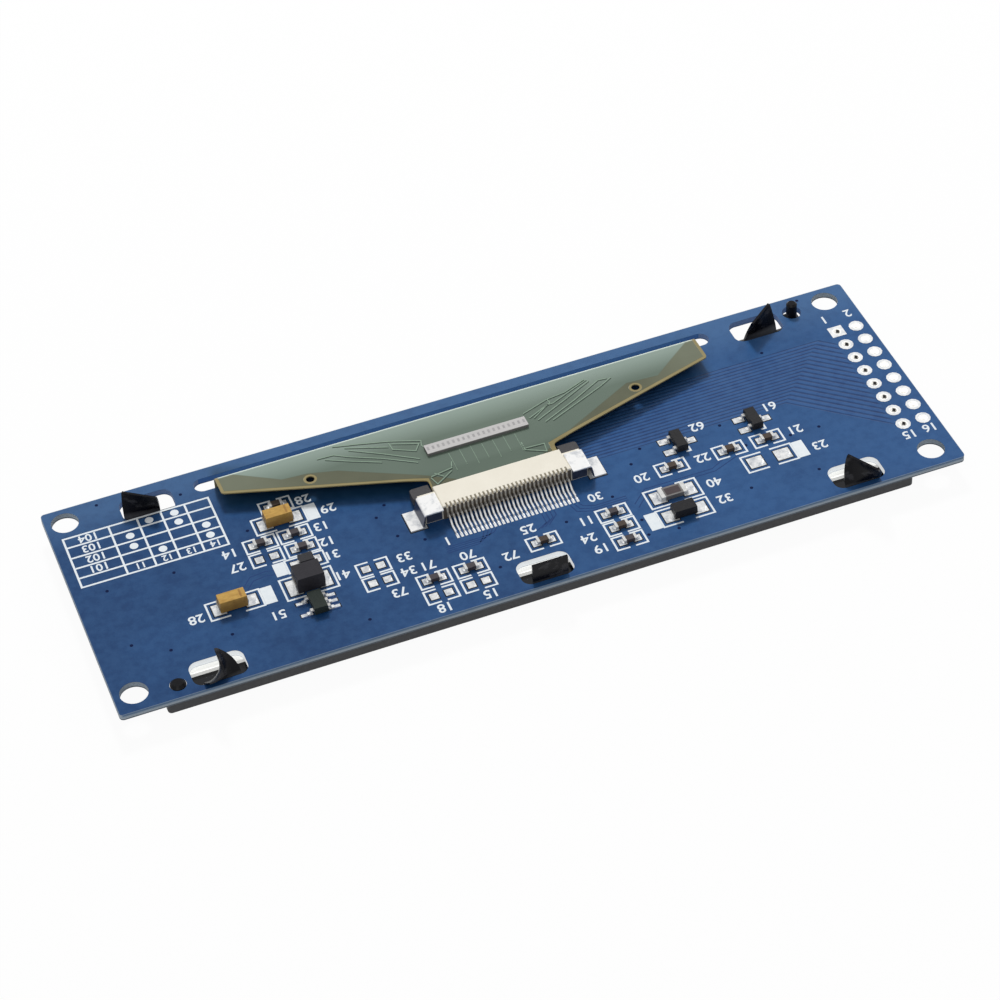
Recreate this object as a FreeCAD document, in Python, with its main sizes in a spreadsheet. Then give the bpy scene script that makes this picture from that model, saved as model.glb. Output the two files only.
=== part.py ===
import FreeCAD, Part
import math
import os
import Sketcher
from FreeCAD import Placement, Rotation, Vector

# Small display module, lying face down: a circuit board on a sheet-metal bezel that holds the
# glass panel, with the panel's ribbon folded over the board into a clamp connector.
# Millimetres. The origin is under the board's centre, on the bezel's front face; +X runs along
# the board towards the row of plated holes, +Y towards the fold of the ribbon, +Z up.

doc = FreeCAD.newDocument("display_module")
sheet = doc.addObject("Spreadsheet::Sheet", "Sizes")

SIZES = {
    "Circuit board": {
        "board_length": 100.5, "board_width": 33.5, "board_thick": 0.8, "board_corner": 0.5,
        "corner_hole_dia": 3.2, "corner_hole_span_x": 95.1, "corner_hole_span_y": 28.5,
        "corner_hole_shift_x": -0.35, "corner_hole_shift_y": 0.2,
        "tab_slot_length": 6.25, "tab_slot_width": 3.7, "tab_slot_corner": 1.15,
        "near_slot_inset": 1.625, "far_slot_inset": 0.725,
        "ribbon_slot_width": 2.15, "ribbon_slot_side": 2.3, "ribbon_slot_out": 1.225,
    },
    "Plated holes": {
        "header_x": 46.16, "header_y": -0.11, "header_pitch": 2.54, "header_rows": 8,
        "header_land_dia": 1.8, "header_hole_dia": 1.0, "header_land_sides": 12,
    },
    "Glass panel": {
        "panel_length": 88.0, "panel_width": 27.8, "glass_thick": 0.7, "panel_x": -0.35, "panel_y": -1.525,
        "panel_gap": 0.225, "ledge_width": 3.5, "film_thick": 0.3, "film_gap": 0.2,
        "tape_thick": 0.5, "tape_inset_x": 1.6, "tape_inset_near": 2.2, "tape_inset_far": 0.5,
    },
    "Bezel": {
        "sheet_thick": 0.3, "bezel_corner": 0.45, "bezel_round": 0.25,
        "lip_ends": 4.1, "lip_sides": 2.8, "window_corner": 0.4,
        "tab_width": 4.2, "near_tab_offset": 38.05, "far_tab_offset": 38.6, "far_tab_shift": -0.3,
        "near_left_rise": 2.6, "near_left_twist": 88, "near_middle_rise": 2.6,
        "near_right_rise": 3.0, "near_right_twist": -60,
        "far_left_rise": 2.6, "far_left_twist": -36, "far_right_rise": 2.6, "far_right_twist": 38,
        "notch_side": 0.5, "notch_drop": 0.2,
    },
    "Locating pins": {
        "near_pin_dia": 1.8, "near_pin_rise": 0.35, "near_pin_gap": 0.05, "near_pin_inset_x": 1.72,
        "near_pin_inset_y": 1.15, "far_pin_dia": 1.3, "far_pin_rise": 1.5, "far_hole_dia": 2.3,
        "far_pin_inset_x": 1.47, "far_pin_out": 1.3, "tongue_margin": 0.25,
    },
    "Ribbon": {
        "ribbon_width": 59.8, "ribbon_x": -0.45, "ribbon_thick": 0.15, "ribbon_bond": 2.8,
        "ribbon_out": 0.4, "lower_bend": 0.6, "fold_bend": 0.8, "fold_rise": 1.5,
        "crest_y": 10.2, "crest_bend": 8.0, "dip_y": 3.6, "dip_bend": 3.0, "flat_rise": 1.62,
        "left_tip_y": 10.05, "right_tip_y": 9.15, "shoulder_y": 2.75, "ribbon_corner": 0.5,
        "neck_width": 15.4, "ribbon_hole_dia": 1.0, "left_hole_x": -20.3, "left_hole_y": 8.25,
        "right_hole_x": 19.65, "right_hole_y": 7.65,
        "driver_length": 12.4, "driver_width": 1.5, "driver_thick": 0.4, "driver_x": -0.44, "driver_y": 7.1,
    },
    "Ribbon connector": {
        "connector_x": -0.28, "connector_front": 1.15, "connector_depth": 3.6, "connector_height": 2.0,
        "housing_width": 15.5, "shoulder_width": 2.1, "shoulder_setback": 0.7, "housing_round": 0.12,
        "mouth_side": 0.15, "mouth_depth": 2.6, "mouth_open": 0.5, "mouth_floor": 0.4, "mouth_top": 1.45, "mouth_rise": 1.15,
        "ribbon_in": 1.4, "contact_count": 30, "contact_pitch": 0.5, "contact_width": 0.2,
        "contact_thick": 0.15, "contact_exit": 0.9, "contact_run": 0.5, "contact_reach": 1.5,
        "contact_foot": 1.0, "contact_bend": 0, "tooth_width": 0.24, "tooth_drop": 0.45, "tooth_depth": 0.55,
        "land_thick": 0.04, "contact_land_width": 0.3, "contact_land_length": 2.5, "contact_land_y": -4.67,
        "hold_thick": 0.15, "hold_width": 3.1, "hold_y": -1.45, "hold_lap": 2.0, "hold_foot": 1.5,
        "hold_bend": 0.25, "hold_splay": 0.35, "hold_gap": 0.12, "hold_land_gap": 0.04,
        "hold_land_length": 2.0,
        "slider_gap": 0.08, "slider_depth": 2.9, "slider_reach": 0.9, "slider_thick": 0.5,
        "ear_width": 2.3, "ear_depth": 1.8, "ear_bottom": 0.2, "ear_top": 1.25, "ear_side": 0.15,
        "ear_round": 0.35,
    },
    "Chip resistors and capacitors": {
        "chip_length": 1.6, "chip_width": 0.8, "chip_height": 0.5, "chip_cap": 0.3, "chip_step": 0.02,
        "chip_land_length": 0.95, "chip_land_width": 0.95, "chip_land_pitch": 1.75,
        "large_chip_x": 17.2, "large_chip_y": -9.0, "large_chip_length": 3.2, "large_chip_width": 1.6,
        "large_chip_height": 0.6, "large_chip_cap": 0.5,
    },
    "Tantalum capacitors": {
        "tantalum_length": 3.2, "tantalum_width": 1.6, "tantalum_height": 1.6, "tantalum_taper": 0.06,
        "tantalum_lead_width": 1.2, "tantalum_lead_thick": 0.12, "tantalum_lead_under": 0.8,
        "tantalum_lead_rise": 0.8, "tantalum_a_x": -34.15, "tantalum_a_y": -5.85,
        "tantalum_b_x": -25.4, "tantalum_b_y": 4.85,
    },
    "Inductor": {
        "inductor_x": -25.3, "inductor_y": -5.95, "inductor_length": 3.2, "inductor_width": 2.5,
        "inductor_height": 2.2, "inductor_taper": 0.03, "inductor_lead_width": 1.6, "inductor_lead_thick": 0.12,
        "inductor_lead_under": 0.7, "inductor_lead_rise": 1.1,
    },
    "Small-outline parts": {
        "outline_width": 1.3, "outline_length": 2.9, "outline_height": 1.0, "outline_taper": 0.08,
        "outline_gap": 0.08, "lead_width": 0.4, "lead_thick": 0.15, "lead_level": 0.5, "lead_out": 0.3,
        "lead_foot": 0.35, "lead_slope": 0.1, "lead_bend": 0, "lead_pitch": 0.95,
        "lead_land_length": 1.3, "lead_land_width": 0.85, "lead_land_out": 0.8,
        "regulator_x": -25.45, "regulator_y": -9.55, "regulator_width": 1.6,
        "transistor_a_x": 21.1, "transistor_a_y": -1.65, "transistor_b_x": 30.5, "transistor_b_y": -1.7,
    },
    "Diodes": {
        "large_diode_x": 17.2, "large_diode_y": -12.3, "large_diode_length": 2.7, "large_diode_width": 1.6,
        "large_diode_height": 1.15, "large_diode_taper": 0.05, "large_diode_lead_width": 0.9,
        "small_diode_x": -24.5, "small_diode_y": -2.6, "small_diode_length": 1.7, "small_diode_width": 1.25,
        "small_diode_height": 0.8, "small_diode_taper": 0.05, "small_diode_lead_width": 0.4,
        "diode_lead_thick": 0.12, "diode_lead_under": 0.4, "diode_lead_rise": 0.45,
    },
}

# Centres of the chips; each is written into the sheet as NAME_1_x, NAME_1_y and so on.
CHIPS = {
    "resistor": [(-28.4, 2.15), (-24.35, 2.15), (-24.2, -0.25), (-12.3, -10.95), (-7.95, -10.95),
                 (9.85, -9.2), (9.9, -13.95)],
    "capacitor": [(1.0, -10.25), (9.9, -11.55), (18.85, -4.95), (26.05, -4.95), (30.8, -4.95), (-24.9, 7.4)],
    "bare_pair": [(-28.4, -0.25), (-17.9, -6.45), (-17.9, -8.85), (-12.35, -13.45), (-7.95, -13.4)],
}

# Pairs of larger lands: centre of the pair, distance between the lands, length and width of each.
LAND_PAIRS = {
    "tantalum_a_lands": (-33.9, -5.85, 3.75, 1.45, 1.7),
    "tantalum_b_lands": (-25.25, 4.85, 3.5, 1.6, 1.6),
    "inductor_lands": (-25.3, -5.95, 3.5, 1.5, 2.4),
    "large_chip_lands": (17.3, -9.0, 3.7, 1.6, 1.9),
    "bare_lands": (29.7, -8.05, 3.35, 1.85, 1.7),
    "large_diode_lands": (17.35, -12.3, 3.6, 1.6, 1.7),
    "small_diode_lands": (-24.55, -2.6, 2.4, 1.1, 1.1),
}

row = 1


def heading(words):
    global row
    sheet.set(f"A{row}", words)
    row += 1


def enter(alias, value):
    global row
    sheet.set(f"A{row}", alias)
    sheet.set(f"B{row}", str(value))
    sheet.setAlias(f"B{row}", alias)
    row += 1


for group, cells in SIZES.items():
    heading(group)
    for alias, value in cells.items():
        enter(alias, value)
heading("Chip centres")
for group, places in CHIPS.items():
    for number, (x, y) in enumerate(places, 1):
        enter(f"{group}_{number}_x", x)
        enter(f"{group}_{number}_y", y)
heading("Larger land pairs")
for group, values in LAND_PAIRS.items():
    for word, value in zip(("x", "y", "pitch", "length", "width"), values):
        enter(f"{group}_{word}", value)
doc.recompute()


def value(expression):
    """The present value of an expression on the sheet."""
    return float(sheet.evalExpression(expression))


# Levels and edges that follow from the stack: bezel sheet, two glasses, tape, board.
GLASS_FRONT = "Sizes.sheet_thick"
LEDGE_TOP = f"({GLASS_FRONT} + Sizes.glass_thick)"
GLASS_BACK = f"({LEDGE_TOP} + Sizes.glass_thick)"
BOARD_BOTTOM = f"({GLASS_BACK} + Sizes.tape_thick)"
BOARD_TOP = f"({BOARD_BOTTOM} + Sizes.board_thick)"
LAND_TOP = f"({BOARD_TOP} + Sizes.land_thick)"
INNER_LENGTH = "(Sizes.panel_length + 2 * Sizes.panel_gap)"
INNER_WIDTH = "(Sizes.panel_width + 2 * Sizes.panel_gap)"
WINDOW_LENGTH = "(Sizes.panel_length - 2 * Sizes.lip_ends)"
WINDOW_WIDTH = "(Sizes.panel_width - 2 * Sizes.lip_sides)"
BEZEL_LENGTH = f"({INNER_LENGTH} + 2 * Sizes.sheet_thick)"
BEZEL_WIDTH = f"({INNER_WIDTH} + 2 * Sizes.sheet_thick)"
BEZEL_LEFT = f"(Sizes.panel_x - {BEZEL_LENGTH} / 2)"
BEZEL_RIGHT = f"(Sizes.panel_x + {BEZEL_LENGTH} / 2)"
BEZEL_NEAR = f"(Sizes.panel_y - {BEZEL_WIDTH} / 2)"
BEZEL_FAR = f"(Sizes.panel_y + {BEZEL_WIDTH} / 2)"
PANEL_NEAR = "(Sizes.panel_y - Sizes.panel_width / 2)"
PANEL_FAR = "(Sizes.panel_y + Sizes.panel_width / 2)"
NEAR_PIN = (f"({BEZEL_LEFT} + Sizes.near_pin_inset_x)", f"({BEZEL_NEAR} + Sizes.near_pin_inset_y)")
FAR_PIN = (f"({BEZEL_RIGHT} - Sizes.far_pin_inset_x)", f"({BEZEL_FAR} + Sizes.far_pin_out)")
NEAR_TAB_Y = f"({BEZEL_NEAR} + Sizes.sheet_thick / 2)"
FAR_TAB_Y = f"({BEZEL_FAR} - Sizes.sheet_thick / 2)"
NEAR_SLOT_Y = f"({NEAR_TAB_Y} + Sizes.near_slot_inset)"
FAR_SLOT_Y = f"({FAR_TAB_Y} + Sizes.far_slot_inset)"
RIBBON_UP_Y = f"({BEZEL_FAR} + Sizes.ribbon_out)"
RIBBON_SLOT_Y = f"({BEZEL_FAR} + Sizes.ribbon_slot_out)"
CONNECTOR_REAR = "(Sizes.connector_front - Sizes.connector_depth)"
MOUTH_WIDTH = "(Sizes.neck_width + 2 * Sizes.mouth_side)"
SHOULDER_END = "(Sizes.housing_width / 2 + Sizes.shoulder_width)"
FIRST_CONTACT_X = "(Sizes.connector_x - (Sizes.contact_count - 1) * Sizes.contact_pitch / 2)"


# Helpers for sketches: every corner, centre and radius is bound to the sheet.
def origin_plane(body, role):
    return next(item for item in body.Origin.OriginFeatures if item.Role == role)


def new_body(name):
    body = doc.addObject("PartDesign::Body", name)
    body.Label = name
    body.AllowCompound = True
    nodes.append(body)
    return body


def new_sketch(body, name, level="0", role="XY_Plane"):
    sketch = body.newObject("Sketcher::SketchObject", name)
    sketch.AttachmentSupport = (origin_plane(body, role), "")
    sketch.MapMode = "FlatFace"
    sketch.setExpression(".AttachmentOffset.Base.z", level)
    return sketch


def bind(sketch, kind, *terms, to):
    """Adds one dimension to the sketch and ties it to an expression."""
    index = sketch.addConstraint(Sketcher.Constraint(kind, *terms, value(to)))
    sketch.setExpression(f"Constraints[{index}]", to)


def add_polygon(sketch, corners):
    """A closed outline through corners given as pairs of expressions."""
    points = [Vector(value(x), value(y), 0) for x, y in corners]
    count = len(points)
    first = None
    for index in range(count):
        line = sketch.addGeometry(Part.LineSegment(points[index], points[(index + 1) % count]), False)
        first = line if first is None else first
    for index in range(count):
        sketch.addConstraint(Sketcher.Constraint("Coincident", first + index, 2, first + (index + 1) % count, 1))
    for index, (x, y) in enumerate(corners):
        bind(sketch, "DistanceX", -1, 1, first + index, 1, to=x)
        bind(sketch, "DistanceY", -1, 1, first + index, 1, to=y)


def add_rectangle(sketch, x, y, length, width):
    """A rectangle from its centre and its two sides."""
    low_x, high_x = f"{x} - {length} / 2", f"{x} + {length} / 2"
    low_y, high_y = f"{y} - {width} / 2", f"{y} + {width} / 2"
    add_polygon(sketch, [(low_x, low_y), (high_x, low_y), (high_x, high_y), (low_x, high_y)])


def add_circle(sketch, x, y, diameter):
    centre = Vector(value(x), value(y), 0)
    index = sketch.addGeometry(Part.Circle(centre, Vector(0, 0, 1), value(diameter) / 2), False)
    bind(sketch, "DistanceX", -1, 1, index, 3, to=x)
    bind(sketch, "DistanceY", -1, 1, index, 3, to=y)
    bind(sketch, "Diameter", index, to=diameter)


def pad(body, sketch, name, length):
    feature = body.newObject("PartDesign::Pad", name)
    feature.Profile = sketch
    feature.setExpression("Length", length)
    return feature


def pocket(body, sketch, name, length):
    """Cuts upwards from the sketch by the given depth."""
    feature = body.newObject("PartDesign::Pocket", name)
    feature.Profile = sketch
    feature.setExpression("Length", length)
    feature.Reversed = True
    return feature


def round_edges(body, name, wanted, radius):
    """Rounds the edges of the body so far that the test picks out."""
    doc.recompute()
    base = body.Tip
    picked = [f"Edge{n}" for n, edge in enumerate(base.Shape.Edges, 1) if wanted(edge)]
    feature = body.newObject("PartDesign::Fillet", name)
    feature.Base = (base, picked)
    feature.setExpression("Radius", radius)
    return feature


def near(a, b):
    return abs(a - b) < 1e-4


def upright(edge):
    box = edge.BoundBox
    return box.ZLength > 1e-3 and box.XLength < 1e-4 and box.YLength < 1e-4


nodes = []


# The circuit board: rounded corners, corner holes, slots for the bezel's tabs and the ribbon,
# holes for the locating pins and the plated holes.
def make_board():
    body = new_body("circuit_board")
    outline = new_sketch(body, "board_outline", BOARD_BOTTOM)
    add_rectangle(outline, "0", "0", "Sizes.board_length", "Sizes.board_width")
    pad(body, outline, "board_pad", "Sizes.board_thick")
    round_edges(body, "board_corners", upright, "Sizes.board_corner")

    slots = new_sketch(body, "tab_slots", BOARD_BOTTOM)
    for x, y in TAB_SLOTS:
        add_rectangle(slots, x, y, "Sizes.tab_slot_length", "Sizes.tab_slot_width")
    pocket(body, slots, "tab_slot_cut", "Sizes.board_thick")
    reach_x, reach_y = value("Sizes.board_length") / 2, value("Sizes.board_width") / 2

    def inside(edge):
        box = edge.BoundBox
        return upright(edge) and abs(box.XMin) < reach_x - 1 and abs(box.YMin) < reach_y - 0.2

    round_edges(body, "tab_slot_corners", inside, "Sizes.tab_slot_corner")

    ribbon_slot = new_sketch(body, "ribbon_slot", BOARD_BOTTOM)
    slot_length = "(Sizes.ribbon_width + 2 * Sizes.ribbon_slot_side)"
    straight = f"({slot_length} - Sizes.ribbon_slot_width)"
    add_rectangle(ribbon_slot, "Sizes.ribbon_x", RIBBON_SLOT_Y, straight, "Sizes.ribbon_slot_width")
    pocket(body, ribbon_slot, "ribbon_slot_cut", "Sizes.board_thick")
    ends = new_sketch(body, "ribbon_slot_ends", BOARD_BOTTOM)
    for side in ("-", "+"):
        add_circle(ends, f"Sizes.ribbon_x {side} {straight} / 2", RIBBON_SLOT_Y, "Sizes.ribbon_slot_width")
    pocket(body, ends, "ribbon_slot_end_cut", "Sizes.board_thick")

    holes = new_sketch(body, "round_holes", BOARD_BOTTOM)
    for side_x in ("-", "+"):
        for side_y in ("-", "+"):
            add_circle(holes, f"Sizes.corner_hole_shift_x {side_x} Sizes.corner_hole_span_x / 2",
                       f"Sizes.corner_hole_shift_y {side_y} Sizes.corner_hole_span_y / 2", "Sizes.corner_hole_dia")
    add_circle(holes, *NEAR_PIN, "Sizes.near_pin_dia + 2 * Sizes.near_pin_gap")
    add_circle(holes, *FAR_PIN, "Sizes.far_hole_dia")
    pocket(body, holes, "round_hole_cut", "Sizes.board_thick")

    first = new_sketch(body, "first_header_holes", BOARD_BOTTOM)
    for x in ("Sizes.header_x", "Sizes.header_x + Sizes.header_pitch"):
        add_circle(first, x, HEADER_FIRST_Y, "Sizes.header_hole_dia")
    cut = pocket(body, first, "first_header_cut", "Sizes.board_thick")
    doc.recompute()
    rows = body.newObject("PartDesign::LinearPattern", "header_hole_rows")
    rows.Originals = [cut]
    rows.Direction = (first, ["V_Axis"])
    rows.setExpression("Length", "(Sizes.header_rows - 1) * Sizes.header_pitch")
    rows.setExpression("Occurrences", "Sizes.header_rows")
    body.Tip = rows


NEAR_TABS = [f"(Sizes.panel_x {way} * Sizes.near_tab_offset)" for way in ("- 1", "+ 0", "+ 1")]
FAR_TABS = [f"(Sizes.panel_x + Sizes.far_tab_shift {way} * Sizes.far_tab_offset)" for way in ("- 1", "+ 1")]
TAB_SLOTS = ([(f"(Sizes.panel_x {way} * Sizes.near_tab_offset)", NEAR_SLOT_Y) for way in ("- 1", "+ 0", "+ 1")]
             + [(f"(Sizes.panel_x {way} * Sizes.near_tab_offset)", FAR_SLOT_Y) for way in ("- 1", "+ 1")])
HEADER_FIRST_Y = "(Sizes.header_y - (Sizes.header_rows - 1) * Sizes.header_pitch / 2)"


# The tinned lands round the plated holes, on both faces of the board: many-sided rings, but for
# the first hole's, which is square.
def add_ring(sketch, x, y, sides):
    """A ring whose outline has so many sides; its hole just clears the drilled one."""
    for radius in ("Sizes.header_land_dia / 2", f"Sizes.header_hole_dia / 2 / cos(180 deg / {sides})"):
        turns = [f"(360 deg * {number} / {sides} + 180 deg / {sides})" for number in range(sides)]
        add_polygon(sketch, [(f"{x} + {radius} * cos{turn}", f"{y} + {radius} * sin{turn}") for turn in turns])


def make_header_lands():
    body = new_body("header_lands")
    sides = int(value("Sizes.header_land_sides"))
    columns = (("inner", "Sizes.header_x", "Sizes.header_rows - 1"),
               ("outer", "(Sizes.header_x + Sizes.header_pitch)", "Sizes.header_rows"))
    for face, level in (("lower", f"{BOARD_BOTTOM} - Sizes.land_thick"), ("upper", BOARD_TOP)):
        for column, x, rows in columns:
            ring = new_sketch(body, f"{face}_{column}_ring", level)
            add_ring(ring, x, HEADER_FIRST_Y, sides)
            first = pad(body, ring, f"{face}_{column}_land", "Sizes.land_thick")
            doc.recompute()
            pattern = body.newObject("PartDesign::LinearPattern", f"{face}_{column}_lands")
            pattern.Originals = [first]
            pattern.Direction = (ring, ["V_Axis"])
            pattern.setExpression("Length", f"({rows} - 1) * Sizes.header_pitch")
            pattern.setExpression("Occurrences", rows)
            body.Tip = pattern
        square = new_sketch(body, f"{face}_square", level)
        square_y = f"({HEADER_FIRST_Y} + (Sizes.header_rows - 1) * Sizes.header_pitch)"
        add_rectangle(square, "Sizes.header_x", square_y, "Sizes.header_land_dia", "Sizes.header_land_dia")
        add_rectangle(square, "Sizes.header_x", square_y, "Sizes.header_hole_dia", "Sizes.header_hole_dia")
        pad(body, square, f"{face}_square_land", "Sizes.land_thick")


# The bezel: a folded sheet tray with a window, a notch where the ribbon leaves, two tongues for
# the locating pins, and five tabs that pass through the board and are twisted to hold it.
def make_bezel():
    body = new_body("bezel")
    outer = new_sketch(body, "tray_outline")
    add_rectangle(outer, "Sizes.panel_x", "Sizes.panel_y", BEZEL_LENGTH, BEZEL_WIDTH)
    pad(body, outer, "tray", BOARD_BOTTOM)
    round_edges(body, "tray_corners", upright, "Sizes.bezel_corner")

    def front_rim(edge):
        return near(edge.BoundBox.ZMin, 0) and near(edge.BoundBox.ZMax, 0)

    round_edges(body, "tray_rim", front_rim, "Sizes.bezel_round")
    inner = new_sketch(body, "tray_hollow", GLASS_FRONT)
    add_rectangle(inner, "Sizes.panel_x", "Sizes.panel_y", INNER_LENGTH, INNER_WIDTH)
    pocket(body, inner, "tray_hollow_cut", BOARD_BOTTOM)

    def hollow_corner(edge):
        box = edge.BoundBox
        return upright(edge) and near(box.ZMin, value(GLASS_FRONT)) and near(
            abs(box.XMin - value("Sizes.panel_x")), value(INNER_LENGTH) / 2)

    round_edges(body, "tray_inner_corners", hollow_corner, "Sizes.bezel_corner - Sizes.sheet_thick")
    window = new_sketch(body, "window")
    add_rectangle(window, "Sizes.panel_x", "Sizes.panel_y", WINDOW_LENGTH, WINDOW_WIDTH)
    pocket(body, window, "window_cut", "Sizes.sheet_thick")

    def window_corner(edge):
        box = edge.BoundBox
        return upright(edge) and near(abs(box.XMin - value("Sizes.panel_x")), value(WINDOW_LENGTH) / 2)

    round_edges(body, "window_corners", window_corner, "Sizes.window_corner")

    notch = new_sketch(body, "ribbon_notch", f"{LEDGE_TOP} - Sizes.notch_drop")
    add_rectangle(notch, "Sizes.ribbon_x", FAR_TAB_Y, "(Sizes.ribbon_width + 2 * Sizes.notch_side)",
                  "(3 * Sizes.sheet_thick)")
    pocket(body, notch, "ribbon_notch_cut", "Sizes.glass_thick + Sizes.tape_thick + Sizes.notch_drop")

    tongues = new_sketch(body, "tongues", GLASS_BACK)
    near_x, near_y = NEAR_PIN
    far_x, far_y = FAR_PIN
    reach = "(Sizes.near_pin_dia / 2 + Sizes.tongue_margin)"
    inner_left = f"{BEZEL_LEFT} + Sizes.sheet_thick / 2"
    add_polygon(tongues, [(inner_left, NEAR_TAB_Y), (f"{near_x} + {reach}", NEAR_TAB_Y),
                          (f"{near_x} + {reach}", f"{near_y} + {reach}"), (inner_left, f"{near_y} + {reach}")])
    half = "(Sizes.far_pin_dia / 2 + Sizes.tongue_margin)"
    add_polygon(tongues, [(f"{far_x} - {half}", FAR_TAB_Y), (f"{far_x} + {half}", FAR_TAB_Y),
                          (f"{far_x} + {half}", f"{far_y} + {half}"), (f"{far_x} - {half}", f"{far_y} + {half}")])
    pad(body, tongues, "tongue_pad", "Sizes.tape_thick")

    tabs = [("near_left", NEAR_TABS[0], NEAR_TAB_Y, BOARD_TOP),
            ("near_middle", NEAR_TABS[1], NEAR_TAB_Y, None),
            ("near_right", NEAR_TABS[2], NEAR_TAB_Y, BOARD_TOP),
            ("far_left", FAR_TABS[0], FAR_TAB_Y, BOARD_BOTTOM),
            ("far_right", FAR_TABS[1], FAR_TAB_Y, BOARD_BOTTOM)]
    for name, x, y, twist_from in tabs:
        top = f"({BOARD_TOP} + Sizes.{name}_rise)"
        foot = new_sketch(body, f"{name}_foot", f"{BOARD_BOTTOM} - Sizes.sheet_thick")
        add_rectangle(foot, x, y, "Sizes.tab_width", "Sizes.sheet_thick")
        straight_to = twist_from or top
        pad(body, foot, f"{name}_stem", f"{straight_to} - {BOARD_BOTTOM} + Sizes.sheet_thick")
        if twist_from:
            twist_tab(body, name, x, y, twist_from, top)


def twist_tab(body, name, x, y, start, end):
    """Carries the tab on from one level to another while it turns about its own axis."""
    steps = 4
    sections = []
    for step in range(steps + 1):
        section = new_sketch(body, f"{name}_section_{step}", f"{start} + ({end} - {start}) * {step} / {steps}")
        section.setExpression(".AttachmentOffset.Base.x", x)
        section.setExpression(".AttachmentOffset.Base.y", y)
        section.setExpression(".AttachmentOffset.Rotation.Angle", f"Sizes.{name}_twist * {step} / {steps}")
        add_rectangle(section, "0", "0", "Sizes.tab_width", "Sizes.sheet_thick")
        sections.append(section)
    doc.recompute()
    loft = body.newObject("PartDesign::AdditiveLoft", f"{name}_twisted")
    loft.Profile = sections[0]
    loft.Sections = sections[1:]
    loft.Ruled = False


# The locating pins, riveted on the tongues of the bezel.
def make_pins():
    for name, place, diameter, rise in (
            ("locating_pin_near", NEAR_PIN, "Sizes.near_pin_dia", "Sizes.near_pin_rise"),
            ("locating_pin_far", FAR_PIN, "Sizes.far_pin_dia", "Sizes.far_pin_rise")):
        body = new_body(name)
        circle = new_sketch(body, f"{name}_outline", BOARD_BOTTOM)
        add_circle(circle, *place, diameter)
        pad(body, circle, f"{name}_shank", f"Sizes.board_thick + {rise}")
        doc.recompute()
        on_tip = top_rim(f"{BOARD_TOP} + {rise}")
        shank = body.Tip
        tip = [f"Edge{n}" for n, edge in enumerate(shank.Shape.Edges, 1) if on_tip(edge)]
        chamfer = body.newObject("PartDesign::Chamfer", f"{name}_tip")
        chamfer.Base = (shank, tip)
        chamfer.setExpression("Size", f"{diameter} / 6")


def top_rim(level):
    """Picks the edges that lie in one level plane."""
    height = value(level)
    return lambda edge: near(edge.BoundBox.ZMin, height) and near(edge.BoundBox.ZMax, height)


# The glass panel: polarising film in the window, front glass, shorter back glass that leaves a
# ledge for the ribbon, and foam tape against the board.
def make_panel():
    back_width = "(Sizes.panel_width - Sizes.ledge_width)"
    back_y = "(Sizes.panel_y - Sizes.ledge_width / 2)"
    tape_near = f"({PANEL_NEAR} + Sizes.tape_inset_near)"
    tape_far = f"({PANEL_FAR} - Sizes.ledge_width - Sizes.tape_inset_far)"
    plates = [
        ("polarising_film", "Sizes.sheet_thick - Sizes.film_thick", "Sizes.film_thick", "Sizes.panel_y",
         f"({WINDOW_LENGTH} - 2 * Sizes.film_gap)", f"({WINDOW_WIDTH} - 2 * Sizes.film_gap)"),
        ("front_glass", GLASS_FRONT, "Sizes.glass_thick", "Sizes.panel_y", "Sizes.panel_length", "Sizes.panel_width"),
        ("back_glass", LEDGE_TOP, "Sizes.glass_thick", back_y, "Sizes.panel_length", back_width),
        ("foam_tape", GLASS_BACK, "Sizes.tape_thick", f"(({tape_near} + {tape_far}) / 2)",
         "(Sizes.panel_length - 2 * Sizes.tape_inset_x)", f"({tape_far} - {tape_near})"),
    ]
    for name, level, thick, y, length, width in plates:
        body = new_body(name)
        outline = new_sketch(body, f"{name}_outline", level)
        add_rectangle(outline, "Sizes.panel_x", y, length, width)
        pad(body, outline, f"{name}_plate", thick)


# Strips: the ribbon, the contacts, the hold-downs and every lead are bent from flat strip, so
# each is drawn as a path of straight runs with round or sharp bends, a thickness and a width.
ALONG_X = Rotation(Vector(0, 1, 0), Vector(0, 0, 1), Vector(1, 0, 0))
ALONG_Y = Rotation(Vector(1, 0, 0), Vector(0, 0, 1), Vector(0, -1, 0))


def strip_side(points, bends, offset):
    """One edge line of the strip, a constant distance to the left of its path."""
    edges = []
    into = (points[1] - points[0]).normalize()
    last = points[0] + Vector(-into.y, into.x, 0) * offset
    for corner, after, bend in zip(points[1:], points[2:], bends):
        out = (after - corner).normalize()
        way = 1 if into.cross(out).z > 0 else -1
        if bend == 0:
            across = (Vector(-into.y, into.x, 0) + Vector(-out.y, out.x, 0)).normalize()
            fold = corner + across * offset / math.cos(into.getAngle(out) / 2)
            edges.append(Part.LineSegment(last, fold).toShape())
            last, into = fold, out
            continue
        cut = bend * math.tan(into.getAngle(out) / 2)
        start, end = corner - into * cut, corner + out * cut
        centre = start + Vector(-into.y, into.x, 0) * way * bend
        radius = bend - way * offset
        start_side = centre + (start - centre).normalize() * radius
        end_side = centre + (end - centre).normalize() * radius
        middle = centre + (corner - centre).normalize() * radius
        edges.append(Part.LineSegment(last, start_side).toShape())
        edges.append(Part.Arc(start_side, middle, end_side).toShape())
        last, into = end_side, out
    final = points[-1] + Vector(-into.y, into.x, 0) * offset
    edges.append(Part.LineSegment(last, final).toShape())
    return edges, final


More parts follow.
